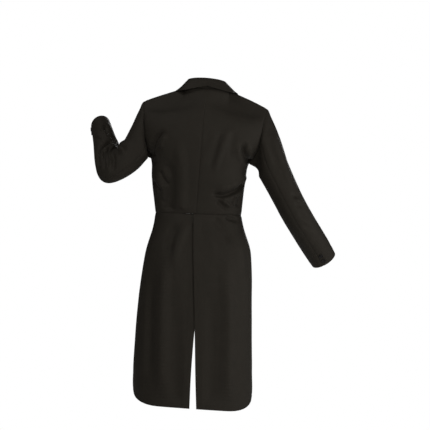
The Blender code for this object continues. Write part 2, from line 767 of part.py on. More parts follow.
def sleeve_out(grid, name, panels):
    """Outward directions of a sleeve piece, away from the middle of each of its rings."""
    side_name = name.rsplit("_", 1)[1]
    top = panels["sleeve_top_" + side_name]
    under = panels["sleeve_under_" + side_name]
    middle = (top.mean(axis=1) + under.mean(axis=1)) / 2
    vectors = grid_normals(grid)
    pointing = np.sum(vectors * (grid - middle[:, None]), axis=2)
    return vectors if pointing.sum() > 0 else -vectors


def merge_normals(panels, own):
    """Outward directions made the same on both sides of each seam."""
    points = np.concatenate([p.reshape(-1, 3) for p in panels])
    vectors = np.concatenate([n.reshape(-1, 3) for n in own])
    _, index = np.unique(np.round(points, 6), axis=0, return_inverse=True)
    index = index.reshape(-1)
    total = np.zeros((index.max() + 1, 3))
    np.add.at(total, index, vectors)
    mean = unit(total)[index]
    leaning = np.sum(mean * vectors, axis=1, keepdims=True)
    mean = mean / np.clip(leaning, 0.6, 1.0)
    result = []
    start = 0
    for panel in panels:
        count = panel.shape[0] * panel.shape[1]
        result.append(mean[start : start + count].reshape(panel.shape))
        start += count
    return result


build()
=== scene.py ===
"""White tie tailcoat, dressed: sewn panels with pressed seams, hems and worn folds, the facings,
the lining that shows from the front, the buttons, and a plain pale studio around them.

Metres, +Z up. The coat's front faces -Y and its own left side is +X. The panels are drawn on a
straight, even figure, then carried over by the wearer's stance, and the folds are laid in last.
"""

import logging
import math
from dataclasses import dataclass, field
from enum import Enum

import bmesh
import bpy
import numpy as np
from mathutils import Matrix, Vector, noise


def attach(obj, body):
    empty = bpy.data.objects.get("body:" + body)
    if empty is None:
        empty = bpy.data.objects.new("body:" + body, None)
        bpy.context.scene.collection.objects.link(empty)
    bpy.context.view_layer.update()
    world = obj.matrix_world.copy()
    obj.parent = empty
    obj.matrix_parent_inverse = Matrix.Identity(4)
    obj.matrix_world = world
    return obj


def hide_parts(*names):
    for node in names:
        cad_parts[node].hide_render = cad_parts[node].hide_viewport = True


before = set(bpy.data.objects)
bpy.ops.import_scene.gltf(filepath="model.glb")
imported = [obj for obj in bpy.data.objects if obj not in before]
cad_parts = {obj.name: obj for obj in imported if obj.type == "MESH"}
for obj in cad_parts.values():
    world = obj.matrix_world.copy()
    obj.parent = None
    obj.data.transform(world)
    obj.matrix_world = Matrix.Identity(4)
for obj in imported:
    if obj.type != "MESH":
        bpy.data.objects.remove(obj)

LOG = logging.getLogger("tailcoat")
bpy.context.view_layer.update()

Pair = tuple[float, float]
Triple = tuple[float, float, float]
Table = tuple[tuple[float, ...], ...]


class Side(Enum):
    """The coat's own sides."""

    LEFT = 1
    RIGHT = -1

    @property
    def word(self) -> str:
        """The side's name as the pieces carry it."""
        return self.name.lower()


class Facing(Enum):
    """Which way the cloth under a fold looks."""

    BACK = 1
    FRONT = -1
    ALL = 0


class Edge(Enum):
    """How an edge of a panel is finished."""

    SEAM = "seam"
    CROWN = "crown"
    HEM = "hem"
    RAW = "raw"


# Curves


def smooth(knots: np.ndarray, values: np.ndarray, at: np.ndarray) -> np.ndarray:
    """Read the smooth curve through values at knots.

    Args:
        knots: Rising places along the curve.
        values: A value, or an array of values, at each knot.
        at: The places to read.

    Returns:
        The curve's values at those places.
    """
    knots = np.asarray(knots, float)
    values = np.asarray(values, float)
    at = np.clip(np.asarray(at, float), knots[0], knots[-1])
    slopes = np.gradient(values, knots, axis=0)
    left = np.clip(np.searchsorted(knots, at, side="right") - 1, 0, len(knots) - 2)
    shape = (-1,) + (1,) * (values.ndim - 1)
    width = (knots[left + 1] - knots[left]).reshape(shape)
    t = (at - knots[left]).reshape(shape) / width
    start = (1 + 2 * t) * (1 - t) ** 2 * values[left] + t * (1 - t) ** 2 * width * slopes[left]
    end = t * t * (3 - 2 * t) * values[left + 1] + t * t * (t - 1) * width * slopes[left + 1]
    return start + end


def ease(share: np.ndarray) -> np.ndarray:
    """A soft step from 0 to 1 as share goes from 0 to 1."""
    share = np.clip(share, 0.0, 1.0)
    return share * share * (3 - 2 * share)


def unit(vectors: np.ndarray) -> np.ndarray:
    """The same vectors, each one long."""
    lengths = np.linalg.norm(vectors, axis=-1, keepdims=True)
    return vectors / np.maximum(lengths, 1e-12)


def lengths_along(points: np.ndarray) -> np.ndarray:
    """The distance from the first point to each point, walked along them."""
    steps = np.linalg.norm(np.diff(points, axis=0), axis=1)
    return np.concatenate([[0.0], np.cumsum(steps)])


def walk(points: np.ndarray, distances: np.ndarray) -> np.ndarray:
    """The points at the given distances along a run of points."""
    walked = lengths_along(points)
    return np.stack([np.interp(distances, walked, points[:, k]) for k in range(3)], axis=1)


def share_out(points: np.ndarray, shares: np.ndarray) -> np.ndarray:
    """The points at the given shares of a run's whole length."""
    return walk(points, np.asarray(shares) * lengths_along(points)[-1])


def rounded(
    inner: Triple,
    outer: Triple,
    roundness: float,
    turn: float,
    count: int = 240,
) -> np.ndarray:
    """A run that rounds the body from an inner edge to an outer one, seen from above.

    Args:
        inner: Where the run starts, near the middle of the body.
        outer: Where it ends, at the body's side.
        roundness: 2 is an ellipse, and more is squarer.
        turn: How far round the run goes, in degrees.
        count: How many points.

    Returns:
        The run's points, one row each.
    """
    angles = np.radians(np.linspace(0, turn, count))
    across = np.sin(angles) ** (2 / roundness)
    over = np.maximum(np.cos(angles), 0) ** (2 / roundness)
    across = across / across[-1]
    over = (over - over[-1]) / (1 - over[-1])
    x = inner[0] + (outer[0] - inner[0]) * across
    y = outer[1] + (inner[1] - outer[1]) * over
    z = outer[2] + (inner[2] - outer[2]) * (1 - across) ** 2
    return np.stack([x, y, z], axis=1)


def mirrored(grid: np.ndarray) -> np.ndarray:
    """The same panel for the other side of the coat."""
    return grid * np.array([-1, 1, 1])


def grid_normals(grid: np.ndarray) -> np.ndarray:
    """The direction square to a grid at each of its points."""
    return unit(np.cross(np.gradient(grid, axis=1), np.gradient(grid, axis=0)))


# The cloth


@dataclass(frozen=True)
class Cloth:
    """The wall of cloth and how its edges are worked."""

    wall: float = 0.0020
    seam_wall: float = 0.0010  # at the armhole, where the sleeve is pressed thin
    layer_gap: float = 0.0006
    press_depth: float = 0.0011  # how far a pressed seam sinks
    press_reach: float = 0.0050
    crown_rise: float = 0.0016  # how far a sleeve head stands up beside its seam
    crown_reach: float = 0.0150
    crown_fall: float = 2.2
    hem_rise: float = 0.0007  # the doubled cloth of a turned hem
    hem_depth: float = 0.0280
    hem_step: float = 0.0040
    edge_roll: float = 0.0005  # how far a free edge rounds out
    waver: float = 0.0005  # the soft unevenness of worn wool
    waver_span: float = 0.085


@dataclass(frozen=True)
class Fineness:
    """How finely the panels are drawn, in steps along each stretch."""

    neck: int = 28
    tail_front: int = 40
    front: int = 64
    waist_to_armpit: int = 64
    armhole: int = 88
    tail: int = 230
    vent_overlap: int = 4
    cap: int = 30
    sleeve_step: float = 0.0030
    lapel: int = 80
    lapel_across: int = 26
    collar_front: int = 24
    collar_across: int = 36


@dataclass(frozen=True)
class Fold:
    """A soft ridge (depth above zero) or trough that the cloth has taken on in wear."""

    run: np.ndarray  # (out, up) of the points that it runs through
    width: float
    depth: float
    lean: float  # steeper on one side: -1 to 1
    crisp: float  # more is a sharper crest
    facing: Facing
    ends: Pair  # shares of its length over which it fades
    steps: int = 48
    edge_on: float = 0.15  # how far past edge-on the cloth may face
    turn_span: float = 0.4

    def relief(self, points: np.ndarray, normals: np.ndarray) -> np.ndarray:
        """How far the fold lifts each point.

        Args:
            points: The cloth's points, one row each.
            normals: The direction square to the cloth at each.

        Returns:
            One height a point, in metres.
        """
        knots = lengths_along(self.run)
        places = np.linspace(0, knots[-1], self.steps)
        line = smooth(knots, self.run, places)
        heading = unit(np.gradient(line, axis=0))
        reach = self.width * (1 + abs(self.lean))
        flat = points[:, [0, 2]]
        low, high = line.min(axis=0) - reach, line.max(axis=0) + reach
        near = np.all((flat >= low) & (flat <= high), axis=1)
        looks = normals[:, 1] * self.facing.value + self.edge_on
        near &= looks > 0
        height = np.zeros(len(points))
        if not near.any():
            return height
        apart = flat[near][:, None, :] - line[None, :, :]
        away = np.linalg.norm(apart, axis=2)
        nearest = away.argmin(axis=1)
        pick = np.arange(len(nearest))
        gap = apart[pick, nearest]
        ahead = heading[nearest]
        sided = ahead[:, 0] * gap[:, 1] - ahead[:, 1] * gap[:, 0]
        spread = self.width * (1 + self.lean * np.sign(sided))
        across = np.clip(away[pick, nearest] / spread, 0, 1)
        crest = (0.5 + 0.5 * np.cos(math.pi * across)) ** self.crisp
        share = places[nearest] / knots[-1]
        fade = ease(share / self.ends[0]) * ease((1 - share) / self.ends[1])
        turned = 1.0 if self.facing is Facing.ALL else ease(looks[near] / self.turn_span)
        height[near] = self.depth * crest * fade * turned
        return height


@dataclass
class Panel:
    """One cut piece of cloth as rows of points, with what is done to its edges."""

    name: str
    grid: np.ndarray
    edges: tuple[Edge, Edge, Edge, Edge]  # first row, last row, first column, last column
    normals: np.ndarray = field(default_factory=lambda: np.zeros(0))

    @property
    def rows(self) -> int:
        """How many rows the panel has."""
        return self.grid.shape[0]

    @property
    def columns(self) -> int:
        """How many columns the panel has."""
        return self.grid.shape[1]

    def cut(self) -> Triple:
        """The panel's size as it was cut, before it folds.

        Returns:
            Its width, its length and its flat area.
        """
        width = max(lengths_along(row)[-1] for row in self.grid)
        length = max(lengths_along(self.grid[:, c])[-1] for c in range(self.columns))
        one = self.grid[1:, 1:] - self.grid[:-1, :-1]
        other = self.grid[1:, :-1] - self.grid[:-1, 1:]
        area = float(np.linalg.norm(np.cross(one, other), axis=2).sum() / 2)
        return width, length, min(area, width * length)

    def from_edges(self) -> list[np.ndarray]:
        """How far each point lies from each of the four edges, along the cloth."""
        down = np.linalg.norm(np.diff(self.grid, axis=0), axis=2)
        down = np.concatenate([np.zeros((1, self.columns)), np.cumsum(down, axis=0)])
        over = np.linalg.norm(np.diff(self.grid, axis=1), axis=2)
        over = np.concatenate([np.zeros((self.rows, 1)), np.cumsum(over, axis=1)], axis=1)
        return [down, down[-1:] - down, over, over[:, -1:] - over]

    def edge_relief(self, cloth: Cloth) -> np.ndarray:
        """How far the pressed seams, sleeve heads and hems lift or sink each point."""
        total = np.zeros(self.grid.shape[:2])
        for kind, away in zip(self.edges, self.from_edges()):
            if kind in (Edge.SEAM, Edge.CROWN):
                total -= cloth.press_depth * np.exp(-((away / cloth.press_reach) ** 2))
            if kind is Edge.CROWN:
                swell = np.exp(-(((away - cloth.crown_reach) / cloth.crown_reach) ** 2) * cloth.crown_fall)
                total += cloth.crown_rise * swell
            if kind is Edge.HEM:
                total += cloth.hem_rise * ease((cloth.hem_depth - away) / cloth.hem_step + 0.5)
        return total


def waver(points: np.ndarray, span: float) -> np.ndarray:
    """The cloth's soft unevenness at each point, about -1 to 1."""
    small_height, small_span, apart = 0.45, span * 0.37, Vector((7, 3, 5))
    places = [Vector(p) for p in points]
    return np.array(
        [noise.noise(p / span) + small_height * noise.noise(p / small_span + apart) for p in places]
    )


def inward(edge: np.ndarray, beside: np.ndarray) -> np.ndarray:
    """Directions along the cloth and square to an edge, towards the points beside it."""
    along = unit(np.gradient(edge, axis=0))
    across = beside - edge
    return unit(across - along * np.sum(across * along, axis=1, keepdims=True))


def same_places(drawn: list[np.ndarray]) -> np.ndarray:
    """A number for each point of the panels, shared by the points that meet at a seam."""
    points = np.concatenate([grid.reshape(-1, 3) for grid in drawn])
    return np.unique(np.round(points, 6), axis=0, return_inverse=True)[1].reshape(-1)


def sums(places: np.ndarray, vectors: np.ndarray) -> np.ndarray:
    """For each point, the sum of the vectors of every point at its place."""
    total = np.zeros((places.max() + 1, 3))
    np.add.at(total, places, vectors)
    return total[places]


def dealt(panels: list[Panel], values: np.ndarray) -> list[np.ndarray]:
    """One long run of points dealt out to the panels again, in each one's shape."""
    ends = np.cumsum([panel.rows * panel.columns for panel in panels])
    return [part.reshape(panel.grid.shape) for panel, part in zip(panels, np.split(values, ends[:-1]))]


@dataclass
class Workroom:
    """Turns panels into closed walls of cloth, with their finish, as pieces."""

    cloth: Cloth
    lining: "bpy.types.Material"
    rim_shares: tuple[float, ...] = (0.22, 0.5, 0.78)  # of the wall, where the rim has points

    def sew(
        self,
        panel: Panel,
        finish: "bpy.types.Material",
        thin_first_row: bool = False,
        inner_finish: "bpy.types.Material | None" = None,
    ) -> "bpy.types.Object":
        """Make the panel's piece: its outer cloth, its lining and the rim between them.

        Args:
            panel: The panel, with its normals.
            finish: The outer cloth's material.
            thin_first_row: Whether the first row is pressed thin at a seam.
            inner_finish: The material of the inner face, if it isn't the lining.

        Returns:
            The piece.
        """
        rows, columns = panel.rows, panel.columns
        thick = np.full((rows, 1, 1), self.cloth.wall)
        if thin_first_row:
            thick[0] = self.cloth.seam_wall
            thick[1] = (self.cloth.wall + self.cloth.seam_wall) / 2
        inner = panel.grid - panel.normals * thick
        below = rows * columns
        number = np.arange(below).reshape(rows, columns)
        a, b = number[:-1, :-1].ravel(), number[:-1, 1:].ravel()
        d, e = number[1:, 1:].ravel(), number[1:, :-1].ravel()
        faces = [tuple(f) for f in np.stack([a, b, d, e], axis=1).tolist()]
        faces += [tuple(f) for f in (np.stack([e, d, b, a], axis=1) + below).tolist()]
        points = np.concatenate([panel.grid.reshape(-1, 3), inner.reshape(-1, 3)])
        ring, out = self.rim(panel, number)
        top, foot = points[ring], points[ring + below]
        count = len(ring)
        layers = [ring]
        extra: list[np.ndarray] = []
        for share in self.rim_shares:
            bulge = 4 * share * (1 - share)
            extra.append(top + (foot - top) * share + out * bulge)
            layers.append(2 * below + np.arange(count) + count * (len(extra) - 1))
        layers.append(ring + below)
        points = np.concatenate([points, *extra])
        rim_start = len(faces)
        for upper, lower in zip(layers, layers[1:]):
            nxt = np.roll(np.arange(count), -1)
            faces += list(zip(upper[nxt].tolist(), upper.tolist(), lower.tolist(), lower[nxt].tolist()))
        corner = np.cross(panel.grid[0, 1] - panel.grid[0, 0], panel.grid[1, 0] - panel.grid[0, 0])
        if corner @ panel.normals[0, 0] < 0:
            faces = [face[::-1] for face in faces]
        mesh = bpy.data.meshes.new(panel.name)
        mesh.from_pydata(points.tolist(), [], faces)
        self.lay_weave(mesh, panel, below, ring)
        mesh.materials.append(finish)
        mesh.materials.append(inner_finish or self.lining)
        slots = np.zeros(len(faces), np.int32)
        slots[rim_start // 2 : rim_start] = 1
        mesh.polygons.foreach_set("material_index", slots)
        mesh.shade_smooth()
        piece = bpy.data.objects.new("coat_" + panel.name, mesh)
        bpy.context.scene.collection.objects.link(piece)
        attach(piece, "root")
        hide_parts(panel.name)
        width, length, area = panel.cut()
        LOG.info("%s: cut %.3f x %.3f m, %d faces", piece.name, width, length, len(faces))
        return piece

    def rim(self, panel: Panel, number: np.ndarray) -> tuple[np.ndarray, np.ndarray]:
        """The rim's points in order round the panel, and how far each rounds out."""
        ring = np.concatenate([number[0, :], number[1:, -1], number[-1, -2::-1], number[-2:0:-1, 0]])
        push = np.zeros(panel.grid.shape)
        grid = panel.grid
        sides = (
            (panel.edges[0], (0, slice(None)), grid[0], grid[1]),
            (panel.edges[1], (-1, slice(None)), grid[-1], grid[-2]),
            (panel.edges[2], (slice(None), 0), grid[:, 0], grid[:, 1]),
            (panel.edges[3], (slice(None), -1), grid[:, -1], grid[:, -2]),
        )
        for kind, where, edge, beside in sides:
            if kind in (Edge.HEM, Edge.RAW):
                push[where] -= inward(edge, beside) * self.cloth.edge_roll
        return ring, push.reshape(-1, 3)[ring]

    def lay_weave(self, mesh: "bpy.types.Mesh", panel: Panel, below: int, ring: np.ndarray) -> None:
        """Gives the cloth a UV map in metres that runs with its grain."""
        from_edges = panel.from_edges()
        flat = np.stack([from_edges[2], from_edges[0]], axis=2).reshape(-1, 2)
        rim = flat[ring]
        every = np.concatenate([flat, flat, rim, rim, rim])
        layer = mesh.uv_layers.new(name="Weave")
        corners = np.zeros(len(mesh.loops), np.int32)
        mesh.loops.foreach_get("vertex_index", corners)
        layer.data.foreach_set("uv", every[corners].astype(np.float32).ravel())


# The panels' cut


@dataclass
class Stance:
    """How each height of the straight figure is carried over and tilted."""

    # height, carried to the left, centre seam pulled further left, tilt (rise per metre)
    rows: tuple[tuple[float, float, float, float], ...] = (
        (0.060, -0.004, 0.000, 0.062),
        (0.000, 0.000, 0.000, 0.062),
        (-0.062, 0.006, 0.001, 0.060),
        (-0.140, 0.014, 0.002, 0.065),
        (-0.190, 0.019, 0.000, 0.062),
        (-0.262, 0.026, -0.001, 0.056),
        (-0.350, 0.031, 0.001, 0.040),
        (-0.4525, 0.031, 0.007, 0.026),
        (-0.583, 0.0315, 0.003, 0.012),
        (-0.662, 0.036, 0.000, 0.008),
        (-0.770, 0.0432, 0.000, 0.008),
        (-0.900, 0.0486, 0.000, 0.012),
        (-1.030, 0.0522, 0.000, 0.034),
        (-1.1525, 0.0522, 0.000, 0.070),
    )
    centre_reach: float = 0.16  # how far from the centre the seam's pull is felt
    centre_front: float = -0.09  # and how far forward

    def pose(self, grid: np.ndarray) -> np.ndarray:
        """The panel carried over and tilted with the stance."""
        table = np.array(self.rows)[::-1]
        x, y, z = grid[..., 0], grid[..., 1], grid[..., 2]
        read = [smooth(table[:, 0], table[:, k], z.ravel()).reshape(z.shape) for k in (1, 2, 3)]
        near_centre = np.clip(1 - (x / self.centre_reach) ** 2, 0, 1) * (y > self.centre_front)
        return np.stack([x + read[0] + read[1] * near_centre, y, z + read[2] * x], axis=-1)


@dataclass
class Bodice:
    """The two backs and the two cut-away fronts, from the waist seam up."""

    fineness: Fineness
    neck_half: float = 0.080
    neck_depth: float = 0.044
    neck_rise: float = -0.002
    shoulder_half: float = 0.2223
    shoulder_set: float = -0.072
    shoulder_drop: float = -0.057
    shoulder_arch: float = 0.002
    armpit: float = 0.50
    tail_front_share: float = 0.62
    # up, centre height, edge height, half breadth, centre depth, edge depth, roundness, turn
    back_rows: Table = (
        (0.00, -0.4525, -0.4525, 0.1550, 0.004, -0.085, 2.3, 90),
        (0.17, -0.3900, -0.3900, 0.1625, 0.013, -0.083, 2.3, 90),
        (0.34, -0.3250, -0.3250, 0.1700, 0.028, -0.081, 2.3, 90),
        (0.50, -0.2600, -0.2625, 0.1775, 0.040, -0.078, 2.3, 88),
        (0.60, -0.2000, -0.2150, 0.2030, 0.046, -0.042, 2.2, 74),
        (0.72, -0.1400, -0.1620, 0.2110, 0.046, -0.024, 2.1, 64),
        (0.86, -0.0700, -0.1060, 0.2160, 0.032, -0.038, 1.7, 62),
        (0.94, -0.0290, -0.0800, 0.2200, 0.017, -0.056, 1.1, 70),
    )
    # up, edge height, edge out, edge depth, front height, front out, front depth, roundness, turn
    front_rows: Table = (
        (0.00, -0.4525, 0.1550, -0.085, -0.476, 0.058, -0.190, 2.2, 90),
        (0.17, -0.3900, 0.1625, -0.083, -0.395, 0.052, -0.200, 2.2, 90),
        (0.34, -0.3250, 0.1700, -0.081, -0.322, 0.052, -0.206, 2.2, 90),
        (0.50, -0.2625, 0.1775, -0.078, -0.250, 0.058, -0.204, 2.2, 88),
        (0.60, -0.2150, 0.1800, -0.120, -0.188, 0.068, -0.190, 2.0, 70),
        (0.72, -0.1620, 0.1870, -0.138, -0.122, 0.077, -0.159, 1.7, 58),
        (0.86, -0.1060, 0.2020, -0.122, -0.054, 0.084, -0.108, 1.4, 58),
    )

    def neckline(self, count: int = 120) -> np.ndarray:
        """The back neckline, from the nape to the neck end of the shoulder seam."""
        angles = np.linspace(0, math.pi / 2, count)
        x = self.neck_half * np.sin(angles)
        y = self.neck_depth * (np.cos(angles) - 1)
        return np.stack([x, y, self.neck_rise * np.sin(angles)], axis=1)

    def shoulder_seam(self, count: int = 120) -> np.ndarray:
        """The shoulder seam, from the neck to the shoulder tip, arched a little."""
        share = np.linspace(0, 1, count)
        x = self.neck_half + (self.shoulder_half - self.neck_half) * share
        y = -self.neck_depth + (self.shoulder_set + self.neck_depth) * share
        z = self.neck_rise + (self.shoulder_drop - self.neck_rise) * share
        return np.stack([x, y, z + self.shoulder_arch * np.sin(share * math.pi)], axis=1)

    def ups(self) -> np.ndarray:
        """The heights of the rows, with one exactly at the foot of the armhole."""
        below = np.linspace(0, self.armpit, self.fineness.waist_to_armpit + 1)
        above = np.linspace(self.armpit, 1, self.fineness.armhole + 1)
        return np.concatenate([below, above[1:]])

    def front_shares(self) -> np.ndarray:
        """Where a front's columns fall, with one exactly where the tail ends."""
        tail = np.linspace(0, self.tail_front_share, self.fineness.tail_front + 1)
        rest = self.fineness.front - self.fineness.tail_front
        free = np.linspace(self.tail_front_share, 1, rest + 1)
        return np.concatenate([tail, free[1:]])

    def back(self) -> np.ndarray:
        """The left half of the back, rows from the waist up, centre to edge."""
        neck, seam = self.neckline(), self.shoulder_seam()
        neck_steps = self.fineness.neck
        whole = lengths_along(neck)[-1] + lengths_along(seam)[-1]
        neck_share = lengths_along(neck)[-1] / whole
        seam_shares = 1 - self.front_shares()[::-1]
        shares = np.concatenate(
            [np.linspace(0, neck_share, neck_steps + 1), neck_share + (1 - neck_share) * seam_shares[1:]]
        )
        rows = []
        for _, centre_z, edge_z, half, centre_y, edge_y, roundness, turn in self.back_rows:
            run = rounded((0, centre_y, centre_z), (half, edge_y, edge_z), roundness, turn)
            rows.append(share_out(run, shares))
        top = [share_out(neck, np.linspace(0, 1, neck_steps + 1))]
        top.append(share_out(seam[::-1], self.front_shares())[::-1][1:])
        rows.append(np.concatenate(top))
        return smooth(np.array([row[0] for row in self.back_rows] + [1.0]), rows, self.ups())

    def front(self, back: np.ndarray) -> np.ndarray:
        """The left front, rows from the waist up, side to front edge."""
        shares = self.front_shares()
        rows = []
        for _, edge_z, edge_x, edge_y, front_z, front_x, front_y, roundness, turn in self.front_rows:
            run = rounded((front_x, front_y, front_z), (edge_x, edge_y, edge_z), roundness, turn)
            rows.append(share_out(run[::-1], shares))
        rows.append(share_out(self.shoulder_seam()[::-1], shares))
        panel = smooth(np.array([row[0] for row in self.front_rows] + [1.0]), rows, self.ups())
        seam = slice(0, self.fineness.waist_to_armpit + 1)
        apart = back[seam, -1] - panel[seam, 0]
        panel[seam] += apart[:, None] * ((1 - shares) ** 2)[None, :, None]
        return panel

    def armhole(self, back: np.ndarray, front: np.ndarray) -> np.ndarray:
        """The armhole's seam: from its foot up the back to the shoulder, and down the front."""
        foot = self.fineness.waist_to_armpit
        return np.concatenate([back[foot:, -1], front[foot:, 0][::-1][1:]])


@dataclass
class Skirt:
    """The two long tails, parted by the vent behind."""

    fineness: Fineness
    waist: float = 0.4525
    # height, half breadth, centre depth, edge depth, front depth, roundness, reach, corner lift
    rows: Table = (
        (-0.500, 0.1640, 0.012, -0.084, -0.190, 2.3, 0.088, 0.000),
        (-0.583, 0.1890, 0.036, -0.082, -0.194, 2.4, 0.092, 0.000),
        (-0.662, 0.1990, 0.047, -0.080, -0.192, 2.5, 0.088, 0.000),
        (-0.770, 0.2060, 0.052, -0.078, -0.186, 2.5, 0.072, 0.000),
        (-0.900, 0.2116, 0.054, -0.076, -0.178, 2.5, 0.046, 0.000),
        (-1.030, 0.2146, 0.055, -0.074, -0.170, 2.5, 0.016, 0.004),
        (-1.105, 0.2150, 0.055, -0.074, -0.168, 2.5, -0.006, 0.018),
        (-1.1525, 0.2142, 0.055, -0.074, -0.166, 2.5, -0.036, 0.038),
    )
    # height, left edge, right edge: how far each stops short of the centre line
    vent: tuple[Triple, ...] = (
        (-0.4525, -0.014, -0.010),
        (-0.5830, -0.010, -0.0145),
        (-0.6620, -0.0095, -0.0115),
        (-0.7700, -0.009, -0.0022),
        (-0.8720, -0.0025, 0.0038),
        (-0.9600, 0.0022, 0.0090),
        (-1.1525, 0.0112, 0.0140),
    )
    underlap_end: float = -0.872
    underlap_fade: float = 0.06
    underlap_flat: float = 0.034
    underlap_reach: float = 0.070
    corner_start: float = 0.45  # of the way round, where the hem begins to lift
    corner_curve: float = 2.4
    past_centre: int = 24  # points of the ring on the other side of the centre

    def ring(self, row: tuple[float, ...]) -> tuple[np.ndarray, float, float]:
        """The curve a tail follows at one height, and where its centre and side lie on it."""
        height, half, centre_y, edge_y, front_y, roundness = row[:6]
        back = rounded((0, centre_y, height), (half, edge_y, height), roundness, 90)
        front = rounded((0, front_y, height), (half, edge_y, height), roundness, 90)[::-1]
        behind = mirrored(back[self.past_centre :: -1])
        centre = lengths_along(behind)[-1]
        whole = np.concatenate([behind[:-1], back, front[1:]])
        return whole, centre, centre + lengths_along(back)[-1]

    def tail(self, side: Side, back: np.ndarray, front: np.ndarray) -> np.ndarray:
        """The left tail, or the right one seen in a mirror: rows from the waist seam down."""
        vent = np.array(self.vent)
        edge = vent[:, 1] if side is Side.LEFT else vent[:, 2]
        seam = np.concatenate([back[0], front[0][1 : self.fineness.tail_front + 1]])
        overhang = seam[0] + unit(seam[1] - seam[0]) * edge[0]
        lap = np.linspace(overhang, seam[0], self.fineness.vent_overlap + 1)[:-1]
        top = np.concatenate([lap, seam])
        places = lengths_along(top)
        spread = places / places[-1]
        rows = [top]
        for row in self.rows:
            whole, centre, side_place = self.ring(row)
            begin = centre + np.interp(-row[0], -vent[:, 0], edge)
            run = walk(whole, begin + spread * (side_place + row[6] - begin))
            corner = np.clip((spread - self.corner_start) / (1 - self.corner_start), 0, 1)
            run[:, 2] += row[7] * corner**self.corner_curve
            rows.append(run)
        knots = np.array([self.waist] + [-row[0] for row in self.rows])
        return smooth(knots, rows, np.linspace(knots[0], knots[-1], self.fineness.tail))

    def underlap(self, grid: np.ndarray, normals: np.ndarray, cloth: Cloth) -> np.ndarray:
        """The left tail with the cloth beside its vent set in, to lie under the right tail."""
        from_edge = np.linalg.norm(grid - grid[:, :1], axis=2)
        near = ease((self.underlap_reach - from_edge) / (self.underlap_reach - self.underlap_flat))
        high = np.clip((grid[..., 2] - self.underlap_end) / self.underlap_fade + 1.0, 0, 1)
        depth = near * high * (cloth.wall + 2 * cloth.layer_gap)
        return grid - normals * depth[..., None]


